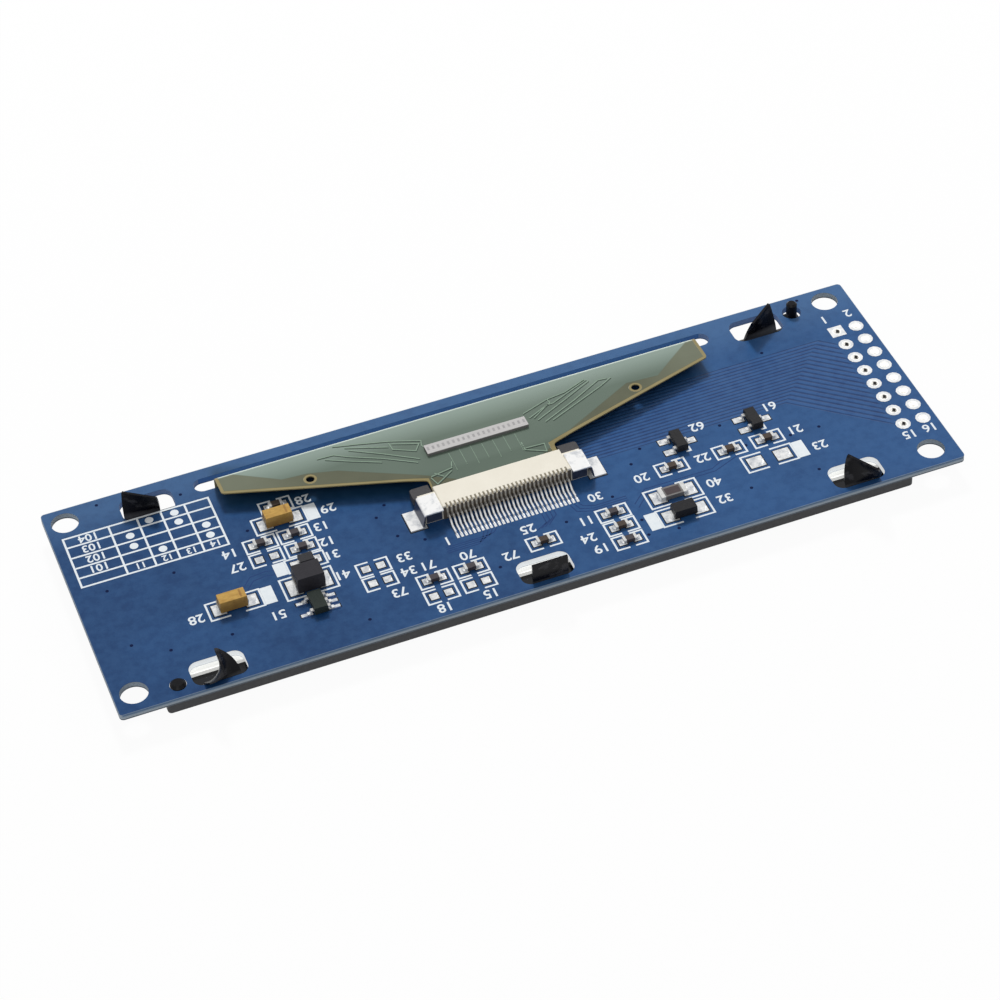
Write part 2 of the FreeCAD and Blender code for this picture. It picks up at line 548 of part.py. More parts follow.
def bent_strip(path, bends, thick, width, centre, turn):
    """A strip bent along a path in its own plane, centred across its width."""
    points = [Vector(u, v, 0) for u, v in path]
    left, left_end = strip_side(points, bends, thick / 2)
    right, right_end = strip_side(points, bends, -thick / 2)
    start_cap = Part.LineSegment(left[0].Vertexes[0].Point, right[0].Vertexes[0].Point).toShape()
    end_cap = Part.LineSegment(left_end, right_end).toShape()
    outline = Part.Wire(Part.__sortEdges__(left + right + [start_cap, end_cap]))
    solid = Part.Face(outline).extrude(Vector(0, 0, width))
    solid.translate(Vector(0, 0, -width / 2))
    solid.Placement = Placement(centre, turn).multiply(solid.Placement)
    return solid


def new_feature(name, solids):
    feature = doc.addObject("Part::Feature", name)
    feature.Label = name
    feature.Shape = solids[0] if len(solids) == 1 else Part.makeCompound(solids)
    feature.Placement = Placement()
    nodes.append(feature)
    return feature


# The ribbon: bonded to the glass ledge, up through the slot, folded back over the board and into
# the connector. Above the board it narrows from its full width to the connector's neck.
def make_ribbon():
    thick = value("Sizes.ribbon_thick")
    width = value("Sizes.ribbon_width")
    middle = value("Sizes.ribbon_x")
    top = value(BOARD_TOP)
    bond = value(LEDGE_TOP) + thick / 2
    up_y = value(RIBBON_UP_Y)
    front = value("Sizes.connector_front")
    mouth = top + value("Sizes.mouth_rise")
    flat = top + value("Sizes.flat_rise")
    path = [(value(f"{PANEL_FAR} - Sizes.ribbon_bond"), bond), (up_y, bond),
            (up_y, top + value("Sizes.fold_rise")), (value("Sizes.crest_y"), flat),
            (value("Sizes.dip_y"), flat), (front, mouth), (front - value("Sizes.ribbon_in"), mouth)]
    bends = [value(f"Sizes.{name}") for name in ("lower_bend", "fold_bend", "crest_bend", "dip_bend", "dip_bend")]
    band = bent_strip(path, bends, thick, width, Vector(middle, 0, 0), ALONG_X)

    neck_x, neck = value("Sizes.connector_x"), value("Sizes.neck_width") / 2
    end_y = front - value("Sizes.ribbon_in") - 1
    shoulder = value("Sizes.shoulder_y")
    far_y = up_y + width
    corners = [(neck_x - neck, end_y), (neck_x + neck, end_y), (neck_x + neck, shoulder),
               (middle + width / 2, value("Sizes.right_tip_y")), (middle + width / 2, far_y),
               (middle - width / 2, far_y), (middle - width / 2, value("Sizes.left_tip_y")),
               (neck_x - neck, shoulder)]
    wire = Part.makePolygon([Vector(x, y, top) for x, y in corners + corners[:1]])
    plan = Part.Face(wire).extrude(Vector(0, 0, width))
    turns = [edge for edge in plan.Edges if upright(edge) and end_y + 0.1 < edge.BoundBox.YMin < far_y - 0.1]
    plan = plan.makeFillet(value("Sizes.ribbon_corner"), turns)
    around = Part.makeBox(3 * width, 3 * width, width, Vector(middle - 1.5 * width, up_y - 1.5 * width, top))
    band = band.cut(around.cut(plan))
    for side in ("left", "right"):
        place = Vector(value(f"Sizes.{side}_hole_x"), value(f"Sizes.{side}_hole_y"), top)
        band = band.cut(Part.makeCylinder(value("Sizes.ribbon_hole_dia") / 2, width, place))
    new_feature("ribbon", band.Solids)


# The driver chip, bonded to the ribbon's upper face.
def make_driver():
    body = new_body("driver_chip")
    outline = new_sketch(body, "driver_outline", f"{BOARD_TOP} + Sizes.flat_rise + Sizes.ribbon_thick / 2")
    add_rectangle(outline, "Sizes.driver_x", "Sizes.driver_y", "Sizes.driver_length", "Sizes.driver_width")
    pad(body, outline, "driver_pad", "Sizes.driver_thick")


# The connector's housing: a block with a mouth for the ribbon, a toothed rear edge where the
# contacts lie, and a lower shoulder at each end under the hold-downs.
def make_housing():
    body = new_body("connector_housing")
    block = new_sketch(body, "housing_block", BOARD_TOP)
    middle_y = "(Sizes.connector_front - Sizes.connector_depth / 2)"
    add_rectangle(block, "Sizes.connector_x", middle_y, "Sizes.housing_width", "Sizes.connector_depth")
    pad(body, block, "housing_pad", "Sizes.connector_height")
    round_edges(body, "housing_top_edges", top_rim(f"{BOARD_TOP} + Sizes.connector_height"), "Sizes.housing_round")
    shoulders = new_sketch(body, "shoulders", BOARD_TOP)
    half = "Sizes.housing_width / 2"
    shoulder_front = "Sizes.connector_front - Sizes.shoulder_setback"
    for way in ("-", "+"):
        inner = f"Sizes.connector_x {way} ({half} - Sizes.housing_round)"
        outer = f"Sizes.connector_x {way} {SHOULDER_END}"
        rear = f"{CONNECTOR_REAR} + Sizes.housing_round"
        add_polygon(shoulders, [(inner, rear), (outer, rear), (outer, shoulder_front), (inner, shoulder_front)])
    pad(body, shoulders, "shoulder_pad", "Sizes.connector_height - Sizes.hold_thick")

    mouth = new_sketch(body, "mouth", f"{BOARD_TOP} + Sizes.mouth_floor")
    add_rectangle(mouth, "Sizes.connector_x", "(Sizes.connector_front + (Sizes.mouth_open - Sizes.mouth_depth) / 2)",
                  MOUTH_WIDTH, "(Sizes.mouth_depth + Sizes.mouth_open)")
    pocket(body, mouth, "mouth_cut", "Sizes.mouth_top - Sizes.mouth_floor")

    tooth = new_sketch(body, "tooth_gap", f"{BOARD_TOP} + Sizes.connector_height - Sizes.tooth_drop")
    add_rectangle(tooth, FIRST_CONTACT_X, CONNECTOR_REAR, "Sizes.tooth_width", "(2 * Sizes.tooth_depth)")
    cut = pocket(body, tooth, "tooth_gap_cut", "Sizes.tooth_drop")
    pattern_along_x(body, "tooth_gaps", tooth, cut)


def pattern_along_x(body, name, sketch, feature):
    """Repeats a feature once for each contact."""
    doc.recompute()
    pattern = body.newObject("PartDesign::LinearPattern", name)
    pattern.Originals = [feature]
    pattern.Direction = (sketch, ["H_Axis"])
    pattern.setExpression("Length", "(Sizes.contact_count - 1) * Sizes.contact_pitch")
    pattern.setExpression("Occurrences", "Sizes.contact_count")
    body.Tip = pattern


def make_contact_lands():
    body = new_body("connector_lands")
    land = new_sketch(body, "contact_land", BOARD_TOP)
    add_rectangle(land, FIRST_CONTACT_X, "Sizes.contact_land_y", "Sizes.contact_land_width", "Sizes.contact_land_length")
    feature = pad(body, land, "contact_land_pad", "Sizes.land_thick")
    pattern_along_x(body, "contact_land_row", land, feature)


# The contacts' tails leave the rear wall, slope down to the board and end in a foot.
def make_contacts():
    thick = value("Sizes.contact_thick")
    count = int(value("Sizes.contact_count"))
    pitch = value("Sizes.contact_pitch")
    rear = value(CONNECTOR_REAR)
    top = value(BOARD_TOP)
    exit_z = top + value("Sizes.contact_exit")
    foot_z = value(LAND_TOP) + thick / 2
    run, reach, foot = (value(f"Sizes.contact_{name}") for name in ("run", "reach", "foot"))
    path = [(rear, exit_z), (rear - run, exit_z), (rear - reach, foot_z), (rear - reach - foot, foot_z)]
    bends = [value("Sizes.contact_bend")] * 2
    tails = []
    for number in range(count):
        x = value("Sizes.connector_x") + (number - (count - 1) / 2) * pitch
        tails.append(bent_strip(path, bends, thick, value("Sizes.contact_width"), Vector(x, 0, 0), ALONG_X))
    new_feature("connector_contacts", tails)


# A plated hold-down laps each shoulder, bends down its end and is soldered to the board.
def make_hold_downs():
    thick = value("Sizes.hold_thick")
    shoulder_end = value(SHOULDER_END)
    upper = value(f"{BOARD_TOP} + Sizes.connector_height") - thick / 2
    lower = value(LAND_TOP) + thick / 2
    down_x = shoulder_end + thick / 2 + value("Sizes.hold_gap")
    foot_x = down_x + value("Sizes.hold_splay")
    bends = [value("Sizes.hold_bend")] * 2
    pieces = []
    for way in (-1, 1):
        path = [(way * (shoulder_end - value("Sizes.hold_lap")), upper), (way * down_x, upper),
                (way * foot_x, lower), (way * (foot_x + value("Sizes.hold_foot")), lower)]
        centre = Vector(value("Sizes.connector_x"), value("Sizes.hold_y"), 0)
        pieces.append(bent_strip(path, bends, thick, value("Sizes.hold_width"), centre, ALONG_Y))
    new_feature("connector_hold_downs", pieces)


# The slider: a bar that wedges the ribbon in the mouth, with an ear at each end to pull it by.
def make_slider():
    body = new_body("connector_slider")
    floor = f"{BOARD_TOP} + Sizes.mouth_floor + Sizes.slider_gap"
    bar = new_sketch(body, "slider_bar", floor)
    half = f"({MOUTH_WIDTH} / 2 - Sizes.slider_gap)"
    out_y = "(Sizes.connector_front + Sizes.slider_reach)"
    in_y = f"({out_y} - Sizes.slider_depth)"
    cross_y = "(Sizes.connector_front + Sizes.slider_gap)"
    ear_x = "(Sizes.housing_width / 2 + Sizes.ear_side)"
    cross = f"({ear_x} + Sizes.ear_width / 4)"
    x = "Sizes.connector_x"
    add_polygon(bar, [(f"{x} - {half}", in_y), (f"{x} + {half}", in_y), (f"{x} + {half}", cross_y),
                      (f"{x} + {cross}", cross_y), (f"{x} + {cross}", out_y), (f"{x} - {cross}", out_y),
                      (f"{x} - {cross}", cross_y), (f"{x} - {half}", cross_y)])
    pad(body, bar, "slider_bar_pad", "Sizes.slider_thick")
    ears = new_sketch(body, "slider_ears", f"{BOARD_TOP} + Sizes.ear_bottom")
    ear_y = "(Sizes.connector_front - Sizes.shoulder_setback + Sizes.ear_side + Sizes.ear_depth / 2)"
    for way in ("-", "+"):
        add_rectangle(ears, f"{x} {way} ({ear_x} + Sizes.ear_width / 2)", ear_y, "Sizes.ear_width", "Sizes.ear_depth")
    pad(body, ears, "slider_ear_pad", "Sizes.ear_top - Sizes.ear_bottom")
    middle = value("Sizes.connector_x")
    far = value(f"{ear_x} + Sizes.ear_width")

    def outer_corner(edge):
        return upright(edge) and near(abs(edge.BoundBox.XMin - middle), far)

    round_edges(body, "slider_ear_corners", outer_corner, "Sizes.ear_round")


# Chips: a ceramic core between two plated ends, each piece a block seated on its lands.
def block(name, x, y, z, length, width, height):
    """A box from its centre and its underside."""
    box = doc.addObject("Part::Box", name)
    box.setExpression("Length", length)
    box.setExpression("Width", width)
    box.setExpression("Height", height)
    box.setExpression("Placement.Base.x", f"{x} - {length} / 2")
    box.setExpression("Placement.Base.y", f"{y} - {width} / 2")
    box.setExpression("Placement.Base.z", z)
    return box


def new_group(name, pieces):
    group = doc.addObject("Part::Compound", name)
    group.Label = name
    group.Links = pieces
    nodes.append(group)


def chip(name, x, y, kind):
    """The core and the two ends of one chip."""
    length, width, height, cap = (f"Sizes.{kind}_{word}" for word in ("length", "width", "height", "cap"))
    core = block(f"{name}_core", x, y, f"{LAND_TOP} + Sizes.chip_step", f"({length} - 2 * {cap})",
                 f"({width} - 2 * Sizes.chip_step)", f"({height} - 2 * Sizes.chip_step)")
    ends = [block(f"{name}_end_{number}", f"{x} {way} ({length} - {cap}) / 2", y, LAND_TOP, cap, width, height)
            for number, way in enumerate(("-", "+"), 1)]
    return core, ends


def make_chips():
    for group in ("resistor", "capacitor"):
        cores, ends = [], []
        for number in range(1, len(CHIPS[group]) + 1):
            name = f"{group}_{number}"
            core, pair = chip(name, f"Sizes.{name}_x", f"Sizes.{name}_y", "chip")
            cores.append(core)
            ends += pair
        new_group(f"{group}_bodies", cores)
        new_group(f"{group}_ends", ends)
    core, ends = chip("large_resistor", "Sizes.large_chip_x", "Sizes.large_chip_y", "large_chip")
    new_group("large_resistor_body", [core])
    new_group("large_resistor_ends", ends)


# Tinned lands under the soldered pieces, with the pairs that were left without one.
def land_pair(name, x, y, pitch, length, width):
    return [block(f"{name}_{number}", f"{x} {way} {pitch} / 2", y, BOARD_TOP, length, width, "Sizes.land_thick")
            for number, way in enumerate(("-", "+"), 1)]


def make_lands():
    lands = []
    for group, places in CHIPS.items():
        for number in range(1, len(places) + 1):
            place = f"{group}_{number}"
            lands += land_pair(f"{place}_land", f"Sizes.{place}_x", f"Sizes.{place}_y", "Sizes.chip_land_pitch",
                               "Sizes.chip_land_length", "Sizes.chip_land_width")
    for pair in LAND_PAIRS:
        lands += land_pair(pair, *(f"Sizes.{pair}_{word}" for word in ("x", "y", "pitch", "length", "width")))
    lands += land_pair("hold_down_land", "Sizes.connector_x", "Sizes.hold_y",
                       f"(2 * ({SHOULDER_END} + Sizes.hold_land_gap) + Sizes.hold_land_length)",
                       "Sizes.hold_land_length", "Sizes.hold_width")
    for name, width, sides in OUTLINE_PARTS:
        for way, rows in zip(("-", "+"), sides):
            for place in rows:
                x = f"Sizes.{name}_x {way} (Sizes.{width} / 2 + Sizes.lead_land_out)"
                y = f"Sizes.{name}_y + {place} * Sizes.lead_pitch"
                lands.append(block(f"{name}_land_{len(lands)}", x, y, BOARD_TOP, "Sizes.lead_land_length",
                                   "Sizes.lead_land_width", "Sizes.land_thick"))
    new_group("component_lands", lands)


# Small-outline parts: name, the size that gives the body's width, and the leads on the left and
# on the right, counted in pitches from the middle.
OUTLINE_PARTS = [
    ("regulator", "regulator_width", ((-1, 1), (-1, 0, 1))),
    ("transistor_a", "outline_width", ((-1, 1), (0,))),
    ("transistor_b", "outline_width", ((-1, 1), (0,))),
]


# Moulded bodies taper away from the seam where the leads come out.
def moulded_body(name, pieces):
    body = new_body(name)
    for number, (x, y, length, width, under, seam, height, taper) in enumerate(pieces, 1):
        for part, level, tall in (("upper", f"{LAND_TOP} + {seam}", f"{height} - {seam}"),
                                  ("lower", f"{LAND_TOP} + {under}", f"{seam} - {under}")):
            inset = f"{taper} * ({tall})"
            ends = [(level, "0"), (f"{level} + ({tall})", inset)]
            if part == "lower":
                ends = [(level, inset), (f"{level} + ({tall})", "0")]
            sections = []
            for end, (z, less) in enumerate(ends, 1):
                section = new_sketch(body, f"{name}_{number}_{part}_{end}", z)
                add_rectangle(section, x, y, f"({length} - 2 * {less})", f"({width} - 2 * {less})")
                sections.append(section)
            doc.recompute()
            loft = body.newObject("PartDesign::AdditiveLoft", f"{name}_{number}_{part}_half")
            loft.Profile = sections[0]
            loft.Sections = sections[1:]
            loft.Ruled = True


def wrapped_leads(name, pieces):
    """Strips that come down a body's ends and fold under it."""
    strips = []
    for x, y, length, rise, under, thick, width in pieces:
        level = value(LAND_TOP) + thick / 2
        for way in (-1, 1):
            end = length / 2 + thick / 2
            path = [(way * (length / 2 - under), level), (way * end, level), (way * end, value(LAND_TOP) + rise)]
            strips.append(bent_strip(path, [0], thick, width, Vector(x, y, 0), ALONG_Y))
    new_feature(name, strips)


def make_wrapped(kind, bodies, leads, sheet_words, centres):
    """A moulded body with a lead folded under either end."""
    length, width, height, taper, lead_width, lead_thick, under, rise = (f"Sizes.{word}" for word in sheet_words)
    moulded_body(bodies, [(f"Sizes.{centre}_x", f"Sizes.{centre}_y", length, width, lead_thick, rise, height, taper)
                          for centre in centres])
    wrapped_leads(leads, [(value(f"Sizes.{centre}_x"), value(f"Sizes.{centre}_y"), value(length), value(rise),
                           value(under), value(lead_thick), value(lead_width)) for centre in centres])


def make_moulded_parts():
    for kind, bodies, leads, centres in (
            ("tantalum", "tantalum_bodies", "tantalum_leads", ("tantalum_a", "tantalum_b")),
            ("inductor", "inductor_body", "inductor_leads", ("inductor",)),
            ("large_diode", "large_diode_body", "large_diode_leads", ("large_diode",)),
            ("small_diode", "small_diode_body", "small_diode_leads", ("small_diode",))):
        lead = "diode" if "diode" in kind else kind
        words = [f"{kind}_{word}" for word in ("length", "width", "height", "taper", "lead_width")]
        words += [f"{lead}_{word}" for word in ("lead_thick", "lead_under", "lead_rise")]
        make_wrapped(kind, bodies, leads, words, centres)


def make_outline_parts():
    groups = {"regulator_body": "regulator_leads", "transistor_bodies": "transistor_leads"}
    for bodies, leads in groups.items():
        members = [item for item in OUTLINE_PARTS if item[0].split("_")[0] == bodies.split("_")[0]]
        moulded_body(bodies, [(f"Sizes.{name}_x", f"Sizes.{name}_y", f"Sizes.{width}", "Sizes.outline_length",
                               "Sizes.outline_gap", "Sizes.lead_level", "Sizes.outline_height", "Sizes.outline_taper")
                              for name, width, sides in members])
        new_feature(leads, [strip for member in members for strip in gull_leads(*member)])


def gull_leads(name, width, sides):
    """Leads that step out from the seam and down to a foot on either side."""
    thick = value("Sizes.lead_thick")
    edge = value(f"Sizes.{width}") / 2
    level = value(f"{LAND_TOP} + Sizes.lead_level")
    foot_z = value(LAND_TOP) + thick / 2
    out = edge + value("Sizes.lead_out")
    down = out + value("Sizes.lead_slope")
    strips = []
    for way, rows in zip((-1, 1), sides):
        path = [(way * edge, level), (way * out, level), (way * down, foot_z),
                (way * (down + value("Sizes.lead_foot")), foot_z)]
        for place in rows:
            y = value(f"Sizes.{name}_y") + place * value("Sizes.lead_pitch")
            strips.append(bent_strip(path, [value("Sizes.lead_bend")] * 2, thick, value("Sizes.lead_width"),
                                     Vector(value(f"Sizes.{name}_x"), y, 0), ALONG_Y))
    return strips


make_board()
make_header_lands()
make_bezel()
make_pins()
make_panel()
make_ribbon()
make_driver()
make_housing()
make_contact_lands()
make_contacts()
make_hold_downs()
make_slider()
make_chips()
make_lands()
make_moulded_parts()
make_outline_parts()
doc.recompute()

for item in doc.Objects:
    if "Invalid" in item.State or "Error" in item.State:
        raise RuntimeError(f"{item.Label} failed: {item.State}")
for node in nodes:
    if node.Shape.isNull() or not node.Shape.isValid() or not node.Shape.Solids:
        raise RuntimeError(f"{node.Label} has no valid shape")

os.makedirs("parts", exist_ok=True)
for node in nodes:
    node.Shape.exportStep(f"parts/{node.Label}.step")
    print(node.Label, len(node.Shape.Solids), "solids", round(node.Shape.Volume, 3), "mm3")
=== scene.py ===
import bpy, bmesh, math
from functools import partialmethod
from mathutils import Matrix, Vector
from mathutils.bvhtree import BVHTree


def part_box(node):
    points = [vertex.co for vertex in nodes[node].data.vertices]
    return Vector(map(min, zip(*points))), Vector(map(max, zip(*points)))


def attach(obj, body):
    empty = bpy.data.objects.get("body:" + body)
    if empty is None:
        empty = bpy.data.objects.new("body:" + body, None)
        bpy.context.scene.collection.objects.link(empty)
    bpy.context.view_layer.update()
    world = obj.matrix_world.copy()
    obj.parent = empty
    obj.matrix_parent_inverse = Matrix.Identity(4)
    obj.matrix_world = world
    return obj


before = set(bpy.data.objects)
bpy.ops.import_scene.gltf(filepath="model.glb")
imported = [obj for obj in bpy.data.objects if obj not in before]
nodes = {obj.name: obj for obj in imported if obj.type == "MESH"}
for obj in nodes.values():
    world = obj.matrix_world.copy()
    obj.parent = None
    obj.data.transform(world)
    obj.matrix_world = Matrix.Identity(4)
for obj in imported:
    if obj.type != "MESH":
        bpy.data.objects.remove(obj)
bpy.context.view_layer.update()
MM = 0.001

# Camera: a long lens over the module's near left side, from a fit to the plated holes and the
# board's corners, with the module lying on its bezel.
camera = bpy.data.objects.new("camera", bpy.data.cameras.new("camera"))
bpy.context.scene.collection.objects.link(camera)
camera.data.lens, camera.data.sensor_width = 111.655, 36
camera.data.clip_start, camera.data.clip_end = 0.01, 10
eye = Vector((-80.7256, -243.3649, 247.2127)) * MM
view_axes = Matrix(((0.93305, 0.279957, -0.225926), (-0.356521, 0.635659, -0.684712),
                    (-0.048078, 0.719417, 0.692912)))
camera.matrix_world = Matrix.Translation(eye) @ view_axes.to_4x4()
bpy.context.scene.camera = camera


# Floor and light: a pale paper sheet that shows white to the eye and keeps a soft shadow, a lamp
# behind the module, a glint lamp far to its right, a weak broad lamp in front, and an even sky.
class Wire:
    """A socket that can be used in sums; each sum adds a Math node to the socket's tree."""

    def __init__(self, tree, socket):
        self.tree, self.socket = tree, socket

    def math(self, operation, *others, turned=False):
        """The sum of the socket and other terms, or with the terms turned round."""
        node = self.tree.nodes.new("ShaderNodeMath")
        node.operation = operation
        terms = others + (self,) if turned else (self,) + others
        for slot, term in zip(node.inputs, terms):
            if isinstance(term, Wire):
                self.tree.links.new(term.socket, slot)
            else:
                slot.default_value = term
        return Wire(self.tree, node.outputs[0])

    __add__ = __radd__ = partialmethod(math, "ADD")
    __sub__ = partialmethod(math, "SUBTRACT")
    __rsub__ = partialmethod(math, "SUBTRACT", turned=True)
    __mul__ = __rmul__ = partialmethod(math, "MULTIPLY")
    __truediv__ = partialmethod(math, "DIVIDE")
    __abs__ = partialmethod(math, "ABSOLUTE")
    least = partialmethod(math, "MINIMUM")
    most = partialmethod(math, "MAXIMUM")

    def below(self, limit, soft=0.01):
        """One under the limit and nought over it, with a soft step between."""
        return (((limit + soft) - self) / (2 * soft)).least(1.0).most(0.0)

    def between(self, low, high, soft=0.01):
        return self.below(high, soft) * (1 - self.below(low, soft))


class NodeBench:
    """Adds nodes of any kind to a tree."""

    def node(self, kind, settings=None, **sockets):
        """A node with its settings, then values or links for its sockets by name or number."""
        made = self.tree.nodes.new(kind)
        for word, setting in (settings or {}).items():
            setattr(made, word, setting)
        for word, term in sockets.items():
            numbered = word[0] == "i" and word[1:].isdigit()
            slot = made.inputs[int(word[1:]) if numbered else word.replace("_", " ")]
            if isinstance(term, Wire):
                self.tree.links.new(term.socket, slot)
            elif hasattr(term, "outputs"):
                self.tree.links.new(term.outputs[0], slot)
            else:
                slot.default_value = term
        return made

    def out(self, node, socket=0):
        return Wire(self.tree, node.outputs[socket])


class Finish(NodeBench):
    """A material, or a sky, made of nodes."""

    def __init__(self, name, owner=None):
        self.owner = owner or bpy.data.materials.new(name)
        self.owner.use_nodes = True
        self.tree = self.owner.node_tree
        self.tree.nodes.clear()

    def place(self):
        """The surface point's x, y and z in millimetres."""
        point = self.node("ShaderNodeTexCoord")
        split = self.node("ShaderNodeSeparateXYZ", Vector=self.out(point, "Object"))
        return tuple(self.out(split, axis) * 1000 for axis in "XYZ")

    def noise(self, scale, detail=3.0, stretch=(1, 1, 1), roughness=0.5):
        """Noise from 0 to 1, whose scale is in ripples to the millimetre."""
        point = self.node("ShaderNodeTexCoord")
        mapped = self.node("ShaderNodeMapping", Vector=self.out(point, "Object"),
                           Scale=tuple(1000 * scale * part for part in stretch))
        made = self.node("ShaderNodeTexNoise", Vector=mapped, Scale=1.0, Detail=detail, Roughness=roughness)
        return self.out(made)

    def mix(self, factor, first, second):
        """A mix of two colours or colour sockets."""
        made = self.node("ShaderNodeMix", {"data_type": "RGBA"}, i0=factor)
        for number, term in ((6, first), (7, second)):
            if isinstance(term, Wire):
                self.tree.links.new(term.socket, made.inputs[number])
            else:
                made.inputs[number].default_value = (*term[:3], 1)
        return self.out(made, 2)

    def shades(self, factor, first, second):
        """A mix of two colours as they are seen, in parts of 255."""
        return self.mix(factor, seen_as(*first), seen_as(*second))

    def bump(self, height, depth):
        """A normal bent by a height from 0 to 1, which stands for a depth in millimetres."""
        made = self.node("ShaderNodeBump", Height=height, Strength=1.0, Distance=depth * MM)
        return self.out(made, "Normal")

    def surface(self, **sockets):
        """Ends the tree in a plain surface with the given sockets."""
        self.node("ShaderNodeOutputMaterial", Surface=self.node("ShaderNodeBsdfPrincipled", **sockets))
        return self.owner


def speckled(name, ripples, dark, pale, rough, rougher, depth, **more):
    """A plain material whose colour, roughness and relief follow one noise."""
    coat = Finish(name)
    specks = coat.noise(*ripples)
    return coat.surface(
        Base_Color=coat.shades(specks, dark, pale), Roughness=rough + specks * rougher if rougher else rough,
        Normal=coat.bump(specks, depth), **more)


def seen_as(red, green, blue):
    """A colour as it is seen, in parts of 255, in the renderer's linear parts."""
    return tuple(((part / 255 + 0.055) / 1.055) ** 2.4 if part > 10 else part / 3294.6
                 for part in (red, green, blue))


def new_piece(name, corners, faces, material=None):
    """A mesh object from corners in millimetres."""
    mesh = bpy.data.meshes.new(name)
    mesh.from_pydata([Vector(corner) * MM for corner in corners], [], faces)
    mesh.update()
    made = bpy.data.objects.new(name, mesh)
    if material:
        mesh.materials.append(material)
    bpy.context.scene.collection.objects.link(made)
    return made


reach, floor_level = 900, -0.02
floor = new_piece("floor", [(-reach, -reach, floor_level), (reach, -reach, floor_level),
                            (reach, reach, floor_level), (-reach, reach, floor_level)], [(0, 1, 2, 3)])
paper = Finish("floor_paper")
grain = paper.noise(0.3, 2)
sheet_look = paper.node("ShaderNodeBsdfPrincipled", Roughness=0.7,
                        Base_Color=paper.mix(grain, (0.8, 0.8, 0.8), (0.84, 0.84, 0.84)))
white_look, white_share = paper.node("ShaderNodeEmission", Color=(1, 1, 1, 1), Strength=1.0), 0.95
rays = paper.node("ShaderNodeLightPath")
looked_at = (paper.out(rays, "Is Camera Ray") + paper.out(rays, "Is Glossy Ray")
             + paper.out(rays, "Is Transmission Ray"))
paper.node("ShaderNodeOutputMaterial", Surface=paper.node(
    "ShaderNodeMixShader", i0=looked_at.least(white_share), i1=sheet_look, i2=white_look))
floor.data.materials.append(paper.owner)

sky_strength, mirrored_strength = 0.38, 0.8
bpy.context.scene.world = bpy.data.worlds.new("sky")
sky = Finish("sky", bpy.context.scene.world)
rays = sky.node("ShaderNodeLightPath")
looked_at = (sky.out(rays, "Is Camera Ray") + sky.out(rays, "Is Transmission Ray")).least(1.0)
reflected = sky.out(rays, "Is Glossy Ray")
sky.node("ShaderNodeOutputWorld", Surface=sky.node(
    "ShaderNodeBackground", Color=(1, 1, 1, 1),
    Strength=sky_strength + looked_at * (1 - sky_strength) + reflected * (mirrored_strength - sky_strength)))


def add_lamp(name, place, power, width, gloss=True):
    """A square lamp, in millimetres, that faces the module."""
    lamp = bpy.data.objects.new(name, bpy.data.lights.new(name, "AREA"))
    lamp.data.energy, lamp.data.size = power, width * MM
    place = Vector(place) * MM
    lamp.matrix_world = Matrix.Translation(place) @ place.to_track_quat("Z", "Y").to_matrix().to_4x4()
    lamp.visible_glossy = gloss
    bpy.context.scene.collection.objects.link(lamp)


add_lamp("key_lamp", (110, 520, 560), 4.1, 120, gloss=False)
add_lamp("far_glint_lamp", (700, 420, 500), 1.0, 160)
add_lamp("front_lamp", (-300, -450, 600), 0.9, 400)

bpy.context.scene.view_settings.view_transform = "Standard"


# Polarising film and glass panel: a dark film on the front glass, and a shorter back glass; both
# glasses are float glass, bonded with an unseen seal.
def dress(name, material):
    """Gives a carried-over node its material."""
    for slot in nodes[name].material_slots:
        slot.material = material


film = Finish("polarising_film")
x, y, z = film.place()
active_length, active_width, active_shift = 76.8, 19.2, 0.1
dot_pitch, dot_low, dot_high, dot_soft = 0.3, 0.15, 0.85, 0.08
panel_low, panel_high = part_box("front_glass")
middle_x, middle_y = (1000 * (panel_low[axis] + panel_high[axis]) / 2 for axis in (0, 1))
lit_area = (abs(x - middle_x).below(active_length / 2, 0.02)
            * abs(y - (middle_y + active_shift)).below(active_width / 2, 0.02))
cells = ((x / dot_pitch).math("FRACT").between(dot_low, dot_high, dot_soft)
         * (y / dot_pitch).math("FRACT").between(dot_low, dot_high, dot_soft))
film_shade = film.mix(lit_area * cells, (0.008, 0.008, 0.010), (0.016, 0.017, 0.021))
haze = film.noise(0.06, 4)
dress("polarising_film", film.surface(
    Base_Color=film.mix(haze * 0.4, film_shade, (0.012, 0.013, 0.02)), Roughness=0.22 + haze * 0.12,
    Coat_Weight=0.4, Coat_Roughness=0.08, Normal=film.bump(film.noise(3, 2), 0.002)))

glass = Finish("panel_glass")
waviness = glass.noise(0.05, 2)
dress("front_glass", glass.surface(
    Base_Color=glass.mix(waviness, (0.05, 0.07, 0.07), (0.08, 0.10, 0.10)), IOR=1.52,
    Transmission_Weight=0.3, Roughness=0.04 + waviness * 0.05, Normal=glass.bump(waviness, 0.01)))
backing = Finish("black_backed_glass")
waviness = backing.noise(0.05, 2)
dress("back_glass", backing.surface(
    Base_Color=backing.mix(waviness, (0.004, 0.004, 0.006), (0.009, 0.010, 0.013)),
    Roughness=0.12 + waviness * 0.1, Specular_IOR_Level=0.3, Normal=backing.bump(waviness, 0.01)))

# Foam tape: white closed-cell foam with glue on both faces, die-cut and pressed on between the
# glass panel and the board, which it beds. It glows faintly, a painted light that keeps it bright
# in the shaded slots.
foam, foam_painted_glow = Finish("foam_tape"), 0.45
pores = foam.noise(9, 4, roughness=0.7)
dress("foam_tape", foam.surface(
    Base_Color=foam.shades(pores, (236, 236, 230), (254, 254, 250)), Roughness=0.85,
    Emission_Color=foam.mix(pores, (0.8, 0.8, 0.77), (1, 1, 0.98)), Emission_Strength=foam_painted_glow,
    Normal=foam.bump(pores, 0.06)))
